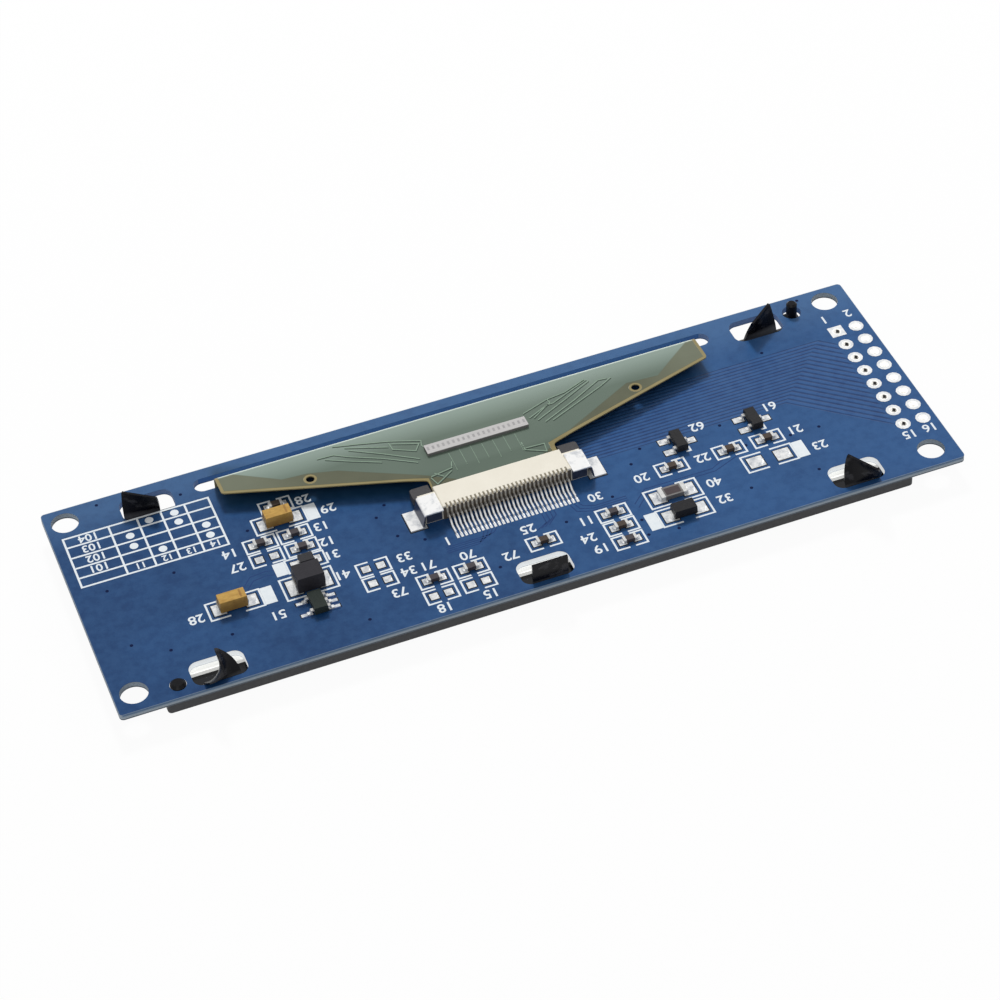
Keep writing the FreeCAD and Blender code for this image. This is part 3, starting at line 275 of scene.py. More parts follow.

# Bezel: pressed and folded from thin sheet steel and painted satin black. Its tabs reach through
# the board and are twisted; their paint is glossier, and their colour is painted much darker than
# the walls', a painted shade, with a few lighter patches that are partly wear, partly painted glints.
paint = Finish("bezel_paint")
x, y, z = paint.place()
peel = paint.noise(2.2, 2)
scuffs_and_glints = paint.noise(0.6, 3, (1, 1, 1.6), 0.55)
tab_root, tab_soft = 3.0, 0.3
# Above the board the tabs are painted darker, a painted shade; the lighter patches on them are partly wear and
# partly painted glints.
tab_part = 1 - z.below(tab_root, tab_soft)
worn_and_glints = scuffs_and_glints.between(0.6, 0.9, 0.05) * tab_part
sides = paint.mix(peel, (0.066, 0.067, 0.070), (0.104, 0.105, 0.109))
dress("bezel", paint.surface(
    Base_Color=paint.mix(worn_and_glints * 0.3, paint.mix(tab_part, sides, (0.003, 0.003, 0.005)), (0.09, 0.09, 0.10)),
    Roughness=0.4 + peel * 0.16 - tab_part * 0.22, Specular_IOR_Level=0.14,
    Normal=paint.bump(peel * 0.7 + scuffs_and_glints * 0.3, 0.02)))

# Locating pins: short turned steel pins, blackened and riveted in the bezel's tongues; they stand
# in two holes of the board and hold the bezel in place.
blacking = Finish("pin_blacking")
turned = blacking.noise(3, 3, (0.2, 0.2, 4))
pin_black = blacking.surface(
    Base_Color=blacking.mix(turned, (0.002, 0.002, 0.003), (0.008, 0.008, 0.010)),
    Roughness=0.25 + turned * 0.2, Specular_IOR_Level=0.15, Normal=blacking.bump(turned, 0.015))
dress("locating_pin_near", pin_black)
dress("locating_pin_far", pin_black)

# Circuit board: glass-fibre laminate with copper tracks under blue solder mask, which stops just
# short of the routed edges; the edges and the walls of the holes are bare laminate. The walls of
# the ribbon slot and the far slots are painted a darker blue, a painted shade, and glow faintly,
# a painted light; the walls of the near slots, beside the foam tape, glow white, a painted light.
mask = Finish("solder_mask")
x, y, z = mask.place()
board_low, board_high = (corner * 1000 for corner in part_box("circuit_board"))
board_top = board_high.z
track_pitch, track_gap = 0.53, 0.2
bend_x, bend_lean, fall = 35.6, 0.95, 0.85
bundle_low, bundle_high, bundle_left, bundle_right, bundle_foot = -0.3, 8.3, 9.5, 45.2, -11.0
run = y.most((y + (x - bend_x) * fall) / (1 + bend_lean * fall))
bundle = (run.between(bundle_low, bundle_high, 0.05) * x.between(bundle_left, bundle_right, 0.3)
          * y.between(bundle_foot, bundle_high, 0.05))
grooves = abs((run / track_pitch).math("FRACT") - 0.5).below(track_gap / track_pitch / 2, 0.09) * bundle
pour = mask.noise(0.11, 4)
weave = mask.noise(0.9, 5, roughness=0.65)


def wing_shade(spot, across, low_x, high_x):
    """The shade on the board below one slanted edge of the ribbon."""
    out = (y - spot[1]) * across[1] + (x - spot[0]) * across[0]
    return out.between(-1.0, 6.0, 1.0) * x.between(low_x, high_x, 0.6)


left_shade = wing_shade((-30.35, 10.05), (0.312, 0.95), -30.2, -9.0)
right_shade = wing_shade((7.25, 2.75), (-0.277, 0.961), 8.5, 29.6)
tone_span, tone_drift, far_strip = 100, 1.6, 12.2
across = (x / tone_span + 0.5 + (pour - 0.5) * tone_drift).least(1.0).most(0.0)
blue = mask.shades(across, (12, 57, 103), (34, 79, 130))
for share, colour in (
        ((1 - y.below(far_strip, 2.5)) * 0.5, (76, 112, 154)), (bundle * 0.5, (48, 86, 140)),
        (grooves * 0.8, (16, 40, 84)), (weave.between(0.5, 0.9, 0.15) * 0.22, (62, 98, 142)),
        (weave.below(0.42, 0.12) * 0.18, (14, 40, 84)),
        (left_shade * 0.55 + right_shade * 0.3, (20, 46, 56))):
    blue = mask.mix(share, blue, seen_as(*colour))
fibre = mask.noise(1.2, 4, (1, 1, 9), 0.7)
laminate = mask.shades(fibre, (132, 144, 154), (166, 178, 190))
slot_middle, slot_reach, slot_near, slot_far = -0.45, 31.4, 12.0, 16.2
far_slots_near, far_slots_reach = 9.0, 44.5
tape_near, tape_far, tape_reach = -15.3, -11.2, 45.4
by_slot = abs(x - slot_middle).below(slot_reach)
slot_wall = by_slot * y.between(slot_near, slot_far)
far_slots = y.between(far_slots_near, slot_far) * (1 - by_slot) * abs(x).below(far_slots_reach)
near_edge = y.below(board_low.y + 0.05, 0.02)
tape_edge = y.between(tape_near, tape_far) * abs(x).below(tape_reach)
# The walls of the long ribbon slot and of the far slots are painted darker blue and blue-grey, a painted shade.
walls = laminate
for share, colour in (
        (slot_wall, (44, 80, 132)), (far_slots, (106, 118, 142)),
        (near_edge * (1 - z.below(board_low.z + 0.5, 0.12)), (84, 110, 140)),
        (z.below(board_low.z + 0.16, 0.03) * (1 - tape_edge) * 0.8, (40, 44, 50))):
    walls = mask.mix(share, walls, seen_as(*colour))
from_edge = (x - board_low.x).least(board_high.x - x).least(y - board_low.y).least(board_high.y - y)
blue = mask.mix(from_edge.below(0.05, 0.03) * 0.5, blue, laminate)
edge = z.between(board_low.z + 0.03, board_top - 0.03, 0.012)
# The slot walls glow faintly blue, and the walls of the near slots beside the foam tape glow white: painted
# light.
painted_slot_glow = mask.mix(edge * (slot_wall + far_slots), (0, 0, 0), seen_as(38, 68, 112))
dress("circuit_board", mask.surface(
    Base_Color=mask.mix(edge, blue, walls), Roughness=0.34 + weave * 0.14 + edge * 0.35,
    Emission_Color=mask.mix(edge * tape_edge, painted_slot_glow, (1, 1, 0.98)), Emission_Strength=0.55,
    Specular_IOR_Level=0.35,
    Normal=mask.bump(weave * 0.12 + pour * 0.3 - grooves * 0.8 + fibre * edge * 0.5, 0.03)))


# Tented vias: small holes drilled through the board and plated, then filled over with solder
# mask, so that they show as dark dimples in its upper face.
class Pattern(NodeBench):
    """A Geometry Nodes tree with named sizes, turned into one plain mesh."""

    def __init__(self, name, **sizes):
        self.tree = bpy.data.node_groups.new(name, "GeometryNodeTree")
        self.sizes = sizes
        self.tree.interface.new_socket("Geometry", in_out="INPUT", socket_type="NodeSocketGeometry")
        for word, size in sizes.items():
            kind = "NodeSocketInt" if isinstance(size, int) else "NodeSocketFloat"
            self.tree.interface.new_socket(word, in_out="INPUT", socket_type=kind)
        self.tree.interface.new_socket("Geometry", in_out="OUTPUT", socket_type="NodeSocketGeometry")
        self.entry = self.tree.nodes.new("NodeGroupInput")

    def size(self, word):
        return Wire(self.tree, self.entry.outputs[word])

    def make(self, name, shape, material, points=None, move=(0, 0, 0)):
        """Ends the tree in one placed mesh of the material; returns the points it grows on."""
        whole = self.node("GeometryNodeRealizeInstances", Geometry=shape)
        moved = self.node("GeometryNodeTransform", Geometry=whole,
                          Translation=tuple(part * MM for part in move))
        coated = self.node("GeometryNodeSetMaterial", Geometry=moved, Material=material)
        self.tree.links.new(coated.outputs[0], self.node("NodeGroupOutput").inputs[0])
        return new_piece(name, points or [(0, 0, 0)], [])

    def settle(self, made):
        """Runs the tree on a piece and keeps the plain mesh that comes out."""
        modifier = made.modifiers.new(self.tree.name, "NODES")
        modifier.node_group = self.tree
        for item in self.tree.interface.items_tree:
            if item.in_out == "INPUT" and item.name in self.sizes:
                size = self.sizes[item.name]
                modifier[item.identifier] = size if isinstance(size, int) else size * MM
        plain = bpy.data.meshes.new_from_object(made.evaluated_get(bpy.context.evaluated_depsgraph_get()))
        made.modifiers.remove(modifier)
        made.data = plain
        return made


via_places = [(-46.2, -7.2), (-42.4, -9.6), (-35.5, -10.0), (-46.4, 1.95), (-38.7, 1.75), (-34.4, 13.6),
              (-43.8, 15.8), (-29.1, 4.8), (-13.75, -2.85), (-13.5, 2.5), (-15.0, 0.9), (-20.9, -13.9),
              (-11.1, -4.6), (-4.9, -12.1), (10.8, -6.7), (4.5, -8.4), (12.4, -11.5), (12.2, -14.0),
              (15.7, -14.4), (14.8, -2.6), (16.7, -0.6), (26.7, -0.7), (28.1, -5.0), (25.8, -11.7),
              (34.1, -12.0), (33.5, -5.5), (37.1, -5.5), (36.4, 8.9), (44.2, 15.9)]
via_radius, via_depth, via_lift = 0.2, 0.016, 0.002
via_look = speckled("tented_via", (5, 2), (10, 20, 52), (14, 30, 70), 0.4, 0.2, 0.02, Specular_IOR_Level=0.1)
vias = Pattern("via_pattern", Radius=via_radius, Depth=via_depth)
disc = vias.node("GeometryNodeMeshCylinder", Vertices=12, Radius=vias.size("Radius"),
                 Depth=vias.size("Depth"))
spread = vias.node("GeometryNodeInstanceOnPoints", Points=vias.entry, Instance=disc)
tented_vias = vias.settle(vias.make("tented_vias", spread, via_look,
                                    [(x, y, board_top + via_lift) for x, y in via_places]))
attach(tented_vias, "module")


# Plated holes: sixteen holes for a plug, drilled at 2.54 mm, with a barrel of plated copper in
# each and a land on either face, all dipped in tin.
def tinned(name, pale, dull, patches, metal):
    """Tin with soft dull patches."""
    coat = Finish(name)
    smear = coat.noise(patches, 4, roughness=0.6)
    fine = coat.noise(7, 3)
    return coat.surface(
        Base_Color=coat.shades(smear.between(0.5, 0.85, 0.14), pale, dull), Metallic=metal,
        Roughness=0.26 + smear * 0.18, Normal=coat.bump(smear * 0.8 + fine * 0.2, 0.03))


ring_look = tinned("ring_tin", (254, 254, 253), (222, 225, 228), 1.6, 0.3)
dress("header_lands", ring_look)
header_x, header_y, header_pitch, header_rows = 46.16, -0.11, 2.54, 8
header_low, header_high = (corner * 1000 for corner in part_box("header_lands"))
header_middle = Vector((header_x + header_pitch / 2, header_y, (header_low.z + header_high.z) / 2))
barrel_tin = Finish("barrel_tin")
x, y, z = barrel_tin.place()
smear = barrel_tin.noise(2, 3)
# A patch inside each hole of the first column is painted dark, a painted shade, and the barrels glow faintly, a
# painted light.
shaded = (x - header_x).between(0.08, 0.42, 0.05) * z.between(2.4, 2.95, 0.06)
bright = barrel_tin.shades(smear, (240, 238, 232), (255, 255, 254))
barrel_look = barrel_tin.surface(
    Base_Color=barrel_tin.mix(shaded, bright, seen_as(24, 22, 20)),
    Emission_Color=barrel_tin.mix(shaded, seen_as(236, 234, 228), (0, 0, 0)), Emission_Strength=0.4,
    Metallic=0.2, Roughness=0.4 + smear * 0.1, Normal=barrel_tin.bump(smear, 0.01))
barrel_radius, barrel_wall, barrel_sunk = 0.48, 0.08, 0.003
barrels = Pattern("barrel_pattern", Pitch=header_pitch, Rows=header_rows, Radius=barrel_radius,
                  Wall=barrel_wall, Height=header_high.z - header_low.z - 2 * barrel_sunk)
grid = barrels.node("GeometryNodeMeshGrid", Vertices_X=2, Vertices_Y=barrels.size("Rows"),
                    Size_X=barrels.size("Pitch"), Size_Y=barrels.size("Pitch") * (header_rows - 1))
circle = barrels.node("GeometryNodeCurvePrimitiveCircle", Resolution=20, Radius=barrels.size("Radius"))
wall = barrels.node("GeometryNodeCurvePrimitiveQuadrilateral", Width=barrels.size("Wall"),
                    Height=barrels.size("Height"))
tube = barrels.node("GeometryNodeCurveToMesh", Curve=circle, Profile_Curve=wall)
spread = barrels.node("GeometryNodeInstanceOnPoints", Points=grid, Instance=tube)
plated_barrels = barrels.settle(barrels.make("plated_barrels", spread, barrel_look, move=header_middle))
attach(plated_barrels, "module")


# Lands: flat copper that the parts are soldered to, etched with the tracks and tinned. The mask
# leaves a rim of dark bare laminate round each, and the square land of the first plated hole is
# filled up to its barrel.
def loose_parts(name):
    """The lowest and highest corners, in millimetres, of each loose part of a node."""
    shape = bmesh.new()
    shape.from_mesh(nodes[name].data)
    bmesh.ops.remove_doubles(shape, verts=shape.verts, dist=1e-7)
    left, parts = set(shape.verts), []
    while left:
        part, rim = set(), {left.pop()}
        while rim:
            part |= rim
            rim = {edge.other_vert(corner) for corner in rim for edge in corner.link_edges} - part
        left -= part
        spots = [corner.co * 1000 for corner in part]
        parts.append((Vector(min(spot[axis] for spot in spots) for axis in range(3)),
                      Vector(max(spot[axis] for spot in spots) for axis in range(3))))
    shape.free()
    return sorted(parts, key=lambda part: (round(part[0].x, 2), round(part[0].y, 2)))


class FlatWork:
    """Thin flat shapes gathered into one mesh."""

    def __init__(self):
        self.corners, self.faces = [], []

    def plate(self, outline, bottom, top):
        """A plate with straight walls; its outline runs anticlockwise."""
        start, count = len(self.corners), len(outline)
        self.corners += [(x, y, level) for level in (bottom, top) for x, y in outline]
        self.faces.append([start + n for n in reversed(range(count))])
        self.faces.append([start + count + n for n in range(count)])
        for n in range(count):
            after = (n + 1) % count
            self.faces.append([start + n, start + after, start + count + after, start + count + n])

    def block(self, low_x, low_y, high_x, high_y, bottom, top):
        self.plate([(low_x, low_y), (high_x, low_y), (high_x, high_y), (low_x, high_y)], bottom, top)

    def line(self, points, width, bottom, top, square=True):
        """A bent line with mitred corners and square ends."""
        spots = [Vector(point) for point in points]
        start, last = len(self.corners), len(spots) - 1
        for n, spot in enumerate(spots):
            before = (spot - spots[n - 1]).normalized() if n else (spots[1] - spot).normalized()
            after = (spots[n + 1] - spot).normalized() if n < last else before
            across = Vector((-before.y - after.y, before.x + after.x))
            across *= width / across.length_squared
            if square and n in (0, last):
                spot = spot + before * (width / 2 if n else -width / 2)
            self.corners += [(*(spot + across * side), level) for level in (bottom, top) for side in (1, -1)]
        for n in range(last):
            a = start + 4 * n
            self.faces += [[a, a + 4, a + 5, a + 1], [a + 3, a + 7, a + 6, a + 2], [a, a + 2, a + 6, a + 4],
                           [a + 1, a + 5, a + 7, a + 3]]
        end = start + 4 * last
        self.faces += [[start, start + 1, start + 3, start + 2], [end + 1, end, end + 2, end + 3]]

    def dot(self, x, y, radius, bottom, top, sides=16):
        turns = [2 * math.pi * n / sides for n in range(sides)]
        self.plate([(x + radius * math.cos(turn), y + radius * math.sin(turn)) for turn in turns], bottom, top)

    def piece(self, name, material):
        return new_piece(name, self.corners, self.faces, material)


def toward(angle):
    """A step of one millimetre at an angle to the x axis."""
    return Vector((math.cos(angle), math.sin(angle)))


first_hole = Vector((header_x, header_y + header_pitch * (header_rows - 1) / 2))
fill_inside, fill_side, fill_sunk, arc_steps = 0.5, 0.52, 0.004, 8
corner_fill, quarter_turn = FlatWork(), math.pi / 2
for begin in (quarter * quarter_turn for quarter in range(4)):
    arc = [first_hole + fill_inside * toward(begin + step * quarter_turn / arc_steps)
           for step in range(arc_steps, -1, -1)]
    side, after = (toward(angle) * fill_side for angle in (begin, begin + quarter_turn))
    outline = [first_hole + side, first_hole + side + after, first_hole + after] + arc
    for low_z, high_z in ((header_low.z + fill_sunk, board_low.z), (board_top, header_high.z - fill_sunk)):
        corner_fill.plate([tuple(spot) for spot in outline], low_z, high_z)
square_land_fill = corner_fill.piece("square_land_fill", ring_look)
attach(square_land_fill, "module")

lands = loose_parts("component_lands")
regulator_middle = sum((corner * 1000 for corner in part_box("regulator_body")), Vector()) / 2
regulator_reach_x, regulator_reach_y = 2.6, 1.5
slim_land_width, slim_pitch = 0.42, 0.95
land_tin = Finish("land_tin")
x, y, z = land_tin.place()
smear = land_tin.noise(1.6, 4, roughness=0.6)
by_regulator = (abs(x - regulator_middle.x).below(regulator_reach_x)
                * abs(y - regulator_middle.y).below(regulator_reach_y))
foot_place = ((y - regulator_middle.y) / slim_pitch + 0.5).math("FRACT")
masked = by_regulator * (1 - abs(foot_place - 0.5).below(slim_land_width / slim_pitch / 2))
bright = land_tin.shades(smear.between(0.5, 0.85, 0.14), (250, 250, 248), (206, 210, 214))
dress("component_lands", land_tin.surface(
    Base_Color=land_tin.mix(masked, bright, seen_as(24, 60, 110)), Metallic=0.45 - masked * 0.45,
    Roughness=0.28 + smear * 0.16, Normal=land_tin.bump(smear, 0.03)))
# The connector's lands are painted dark, a painted shade under the contact tails, but for their bright toes at
# the front.
dull, toe_length = Finish("land_shadow"), 0.7
x, y, z = dull.place()
smear = dull.noise(2, 3)
toes = y.below(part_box("connector_lands")[0][1] * 1000 + toe_length, 0.1)
in_shadow = dull.shades(smear, (54, 60, 78), (90, 96, 110))
dress("connector_lands", dull.surface(
    Base_Color=dull.mix(toes, in_shadow, seen_as(236, 238, 238)), Metallic=0.3,
    Roughness=0.4 + smear * 0.1, Normal=dull.bump(smear, 0.01)))


def width_shown(low, high):
    """How much of a land's width the mask leaves bare."""
    middle = (low + high) / 2
    slim = (abs(middle.x - regulator_middle.x) < regulator_reach_x
            and abs(middle.y - regulator_middle.y) < regulator_reach_y)
    return slim_land_width if slim else high.y - low.y


bare_look = speckled("bare_laminate", (3, 3), (20, 24, 34), (44, 48, 56), 0.6, 0, 0.01,
                     Specular_IOR_Level=0.2)
opening_margin, opening_rise = 0.13, 0.006
openings = FlatWork()
for low, high in lands:
    middle_y, half = (low.y + high.y) / 2, width_shown(low, high) / 2 + opening_margin
    openings.block(low.x - opening_margin, middle_y - half, high.x + opening_margin, middle_y + half,
                   board_top, board_top + opening_rise)
mask_openings = openings.piece("mask_openings", bare_look)
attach(mask_openings, "module")

# Solder: bright tin, printed on as paste and melted in an oven. It stands as a low dome on each
# land and as a fillet at each end of each chip part.
solder = Pattern("solder_pattern")
dome = solder.node("GeometryNodeMeshUVSphere", Segments=12, Rings=6, Radius=0.5 * MM)
stretch = solder.node("GeometryNodeInputNamedAttribute", {"data_type": "FLOAT_VECTOR"}, Name="size")
spread = solder.node("GeometryNodeInstanceOnPoints", Points=solder.entry, Instance=dome, Scale=stretch)
dome_share, low_dome, high_dome, long_land = 0.94, 0.12, 0.16, 1.2
points, sizes = [], []
for low, high in lands:
    span = high - low
    points.append(((low.x + high.x) / 2, (low.y + high.y) / 2, high.z))
    sizes.append((span.x * dome_share, width_shown(low, high) * dome_share,
                  low_dome if span.x < long_land else high_dome))
fillet_out, fillet_length, fillet_width_share, fillet_height_share = 0.04, 0.62, 0.98, 1.35
chip_ends = [part for name in ("resistor_ends", "capacitor_ends", "large_resistor_ends")
             for part in loose_parts(name)]
for low, high in chip_ends:
    centre = (low + high) / 2
    nearest = min(lands, key=lambda land: ((land[0] + land[1]) / 2 - centre).length)
    outward = 1 if (nearest[0].x + nearest[1].x) / 2 > centre.x else -1
    end_x = high.x if outward > 0 else low.x
    points.append((end_x + outward * fillet_out, centre.y, nearest[1].z))
    sizes.append((fillet_length, (high.y - low.y) * fillet_width_share,
                  (high.z - low.z) * fillet_height_share))
solder_look = tinned("solder", (255, 255, 254), (196, 200, 206), 1.2, 0.6)
solder_work = solder.make("solder_joints", spread, solder_look, points)
solder_work.data.attributes.new("size", "FLOAT_VECTOR", "POINT").data.foreach_set(
    "vector", [part for size in sizes for part in size])
solder_joints = solder.settle(solder_work)
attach(solder_joints, "module")

# Other tracks under the mask: short copper routes between the connector and the parts, etched
# with the lands; they show as thin, slightly darker lines in the blue.
routes = [[(6.9 - 0.5 * n, -6.1), (7.2 - 0.5 * n, -6.7 - 0.3 * n), (8.4 - 0.3 * n, -7.2 - 0.35 * n),
           (12.2, -7.2 - 0.35 * n)] for n in range(3)]
routes += [[(3.9 - 0.5 * n, -6.1), (3.9 - 0.5 * n, -6.8 - 0.25 * n), (2.6 - 0.5 * n, -8.0 - 0.1 * n)]
           for n in range(4)]
routes += [[(-3.1 - 0.5 * n, -6.1), (-3.5 - 0.5 * n, -6.6 - 0.1 * n), (-4.2 - 0.5 * n, -6.8 - 0.3 * n),
            (-9.4, -6.8 - 0.3 * n)] for n in range(4)]
routes += [[(-32.3, -3.8), (-31.1, -2.4), (-29.2, -2.2), (-27.6, -2.6)],
           [(-31.9, -4.2), (-30.9, -3.1), (-29.3, -2.9), (-27.7, -3.3)],
           [(12.7, -8.8), (14.6, -7.0), (23.0, -7.0), (25.1, -5.9)],
           [(12.9, -9.5), (14.9, -7.5), (23.2, -7.5), (27.2, -5.9)]]
route_width, route_sunk, route_rise = 0.13, 0.002, 0.003
board_routes = FlatWork()
for route in routes:
    board_routes.line(route, route_width, board_top - route_sunk, board_top + route_rise)
masked_tracks = board_routes.piece("masked_tracks", speckled(
    "masked_tracks", (1.2, 3), (20, 48, 96), (32, 66, 118), 0.4, 0.1, 0.01, Specular_IOR_Level=0.3))
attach(masked_tracks, "module")

# Silk print: white ink pressed through a screen onto the mask, with an open frame round each
# part, a bar at each polar part's marked end, plain numbers beside them and a ruled table with
# dots.
ink_look = speckled("silk_ink", (2.5, 4, (1, 1, 1), 0.65), (214, 224, 232), (240, 243, 244), 0.55, 0, 0.01)
print_top, line_width, layer_step = board_top + 0.014, 0.22, 0.001
letter_scale, boldness = 1.4, 0.022
silk = FlatWork()


def open_frame(low_x, low_y, high_x, high_y, opening):
    """Two square brackets that face each other, in turn at one of four levels."""
    middle = (low_x + high_x) / 2
    layer = len(silk.corners) // 32 % 4 * layer_step
    for side, mouth in ((low_x, middle - opening / 2), (high_x, middle + opening / 2)):
        silk.line([(mouth, low_y), (side, low_y), (side, high_y), (mouth, high_y)], line_width, board_top,
                  print_top - layer, square=False)


chip_land, large_land = 0.95, 1.0
small_lands = [(low, high) for low, high in lands
               if abs(high.x - low.x - chip_land) < 0.02 and abs(high.y - low.y - chip_land) < 0.02]
large_lands = [land for land in lands if land not in small_lands and land[1].x - land[0].x > large_land]
chip_frame_length, chip_frame_width, chip_opening = 3.65, 2.05, 0.7


def partner(land, others, limit):
    """The land beside this one to the right, level with it."""
    beside = [other for other in others if 0.5 < other[0].x - land[0].x < limit
              and abs(other[0].y - land[0].y) < 0.01 and abs(other[1].y - land[1].y) < 0.01]
    return min(beside, key=lambda other: other[0].x, default=None)


for land in small_lands:
    other = partner(land, small_lands, 2.0)
    if other:
        middle_x, middle_y = (land[0].x + other[1].x) / 2, (land[0].y + land[1].y) / 2
        open_frame(middle_x - chip_frame_length / 2, middle_y - chip_frame_width / 2,
                   middle_x + chip_frame_length / 2, middle_y + chip_frame_width / 2, chip_opening)
bar_length, bar_gap, frame_gap = 1.35, 0.62, 0.5
for land in large_lands:
    other = partner(land, large_lands, 4.0)
    if other and land[1].y - land[0].y > large_land:
        low, high = land[0], other[1]
        low_y, high_y = low.y - frame_gap, high.y + frame_gap
        open_frame(low.x - frame_gap, low_y, high.x + frame_gap, high_y, (other[0].x - land[1].x) * 0.75)
        middle = Vector(((low.x + high.x) / 2, (low.y + high.y) / 2))
        long_pair = high.x - low.x > 5.0
        tantalum = long_pair and middle.y > -6.0 and middle.x < -20 and high.y - low.y < 2
        diode = middle.y < -12 or abs(middle.y + 2.6) < 0.2
        if tantalum or long_pair and middle.x > 25:
            silk.block(high.x + bar_gap, low_y, high.x + bar_gap + bar_length, high_y, board_top, print_top)
        elif diode:
            silk.block(low.x - bar_gap - bar_length, low_y, low.x - bar_gap, high_y, board_top, print_top)

table_columns = (-48.85, -43.5, -40.15, -37.35, -34.5, -31.65)
table_rows = (3.6, 5.1, 6.75, 8.5, 10.3, 11.85)
table_line, dot_radius = 0.24, 0.5
for column in table_columns:
    silk.line([(column, table_rows[0]), (column, table_rows[-1])], table_line, board_top,
              print_top - 2 * layer_step)
for level in table_rows:
    silk.line([(table_columns[0], level), (table_columns[-1], level)], table_line, board_top, print_top)
for x, y in ((-38.9, 11.0), (-35.9, 11.0), (-41.6, 9.4), (-35.85, 9.4), (-41.65, 7.65), (-33.1, 7.65),
             (-38.75, 5.9), (-33.15, 5.9)):
    silk.dot(x, y, dot_radius, board_top, print_top)


def numeral(word, x, y, height):
    """Prints a number with its middle at x and y, to be read from the far side."""
    letters = bpy.data.curves.new(word, "FONT")
    letters.body, letters.size = word, height * letter_scale
    letters.extrude, letters.offset = (print_top - board_top) / 2, boldness * height
    letters.align_x, letters.align_y = "CENTER", "CENTER"
    letters.resolution_u = 3
    holder = bpy.data.objects.new(word, letters)
    bpy.context.scene.collection.objects.link(holder)
    plain = bpy.data.meshes.new_from_object(holder.evaluated_get(bpy.context.evaluated_depsgraph_get()))
    bpy.data.objects.remove(holder)
    spots = [corner.co for corner in plain.vertices]
    centre = Vector(((min(s.x for s in spots) + max(s.x for s in spots)) / 2,
                     (min(s.y for s in spots) + max(s.y for s in spots)) / 2, 0))
    place = Matrix.Translation((x, y, (board_top + print_top) / 2)) @ Matrix.Rotation(math.pi, 4, "Z")
    start = len(silk.corners)
    silk.corners += [tuple(place @ (spot - centre)) for spot in spots]
    silk.faces += [[start + corner for corner in face.vertices] for face in plain.polygons]


part_height, pin_height, column_height, row_height = 1.32, 1.28, 0.95, 1.15
for word, x, y in (
        ("28", -38.5, -6.3), ("28", -21.75, 7.15), ("29", -19.55, 4.6), ("13", -21.3, 2.15),
        ("12", -21.5, -0.45), ("14", -32.2, 2.05), ("31", -21.4, -2.7), ("27", -31.9, -0.4),
        ("41", -21.3, -6.2), ("51", -29.8, -9.25), ("62", 24.2, 0.15), ("22", 22.7, -4.95),
        ("20", 15.0, -5.2), ("40", 22.3, -9.15), ("32", 22.3, -12.1), ("11", 6.6, -9.15),
        ("24", 5.8, -11.85), ("19", 6.4, -13.9), ("25", 0.1, -7.75), ("72", -3.2, -10.9),
        ("73", -16.5, -11.3), ("70", -7.6, -8.85), ("71", -12.1, -8.6), ("33", -14.2, -6.3),
        ("34", -14.5, -8.6), ("15", -7.4, -15.5), ("18", -12.8, -15.5), ("61", 33.4, -0.05),
        ("21", 34.5, -4.85), ("23", 35.9, -8.35)):
    numeral(word, x, y, part_height)
for word, x, y in (("1", 45.65, 11.3), ("2", 48.75, 11.3), ("15", 45.95, -10.9), ("16", 48.55, -10.8),
                   ("1", -8.87, -5.9), ("30", 8.95, -5.95)):
    numeral(word, x, y, pin_height)
for number, x in enumerate((-41.8, -38.75, -35.9, -33.1), 11):
    numeral(str(number), x, (table_rows[0] + table_rows[1]) / 2, column_height)
for number, (low, high) in enumerate(zip(table_rows[1:], table_rows[2:]), 101):
    numeral(str(number), -46.2, (low + high) / 2, row_height)
for low, high in loose_parts("transistor_bodies"):
    for side_y, inward, outward in ((high.y, -0.75, 0.1), (low.y, 0.55, -0.1)):
        silk.line([(high.x + 0.25, side_y + inward), (high.x + 0.25, side_y + outward),
                   (high.x - 0.2, side_y + outward)], line_width, board_top, print_top)
silk_print = silk.piece("silk_print", ink_look)
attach(silk_print, "module")

# Ribbon: flexible film of amber polyimide; a green cover layer stops short of the edges and of
# the rings round its two holes, and copper tracks stand up under it.
ribbon = Finish("ribbon_film")
x, y, z = ribbon.place()
ribbon_low, ribbon_high = (corner * 1000 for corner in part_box("ribbon"))
left_tip, right_tip = Vector((ribbon_low.x, 10.05)), Vector((ribbon_high.x, 9.15))
neck_left, neck_right, shoulder_y = -8.15, 7.25, 2.75
film_border, ring_width = 0.38, 0.28
left_hole, right_hole, hole_radius = Vector((-20.3, 8.25)), Vector((19.65, 7.65)), 0.5


def above_line(first, last):
    """How far the surface point lies above the line through two places, in millimetres."""
    along = (last - first).normalized()
    return (y - first.y) * along.x - (x - first.x) * along.y


def away_from(spot):
    across, along = x - spot.x, y - spot.y
    return (across * across + along * along).math("SQRT")


left_slant = above_line(left_tip, Vector((neck_left, shoulder_y)))
right_slant = above_line(Vector((neck_right, shoulder_y)), right_tip)
wing = left_slant.least(right_slant).least(x - left_tip.x).least(right_tip.x - x)
neck = (x - neck_left).least(neck_right - x)
cover = 1 - wing.most(neck).below(film_border, 0.03)
for hole in (left_hole, right_hole):
    cover = cover * (1 - away_from(hole).below(hole_radius + ring_width, 0.03))
left_line = [Vector(corner) for corner in (
    (-27.15, 12.0), (-23.35, 9.5), (-20.35, 9.25), (-16.95, 8.3), (-8.35, 3.7))]
right_line = [Vector(corner) for corner in ((6.95, 2.4), (18.95, 8.75), (22.85, 8.5), (27.4, 12.1))]
left_layer = above_line(*left_line[:2]).least(above_line(*left_line[1:3]).most(
    above_line(*left_line[2:4])).most(above_line(*left_line[3:])))
right_layer = above_line(*right_line[2:]).least(above_line(*right_line[:2]).most(above_line(*right_line[1:3])))
olive_part = left_layer.least(right_layer).below(0.0, 0.07)
mottle = ribbon.noise(0.3, 4)
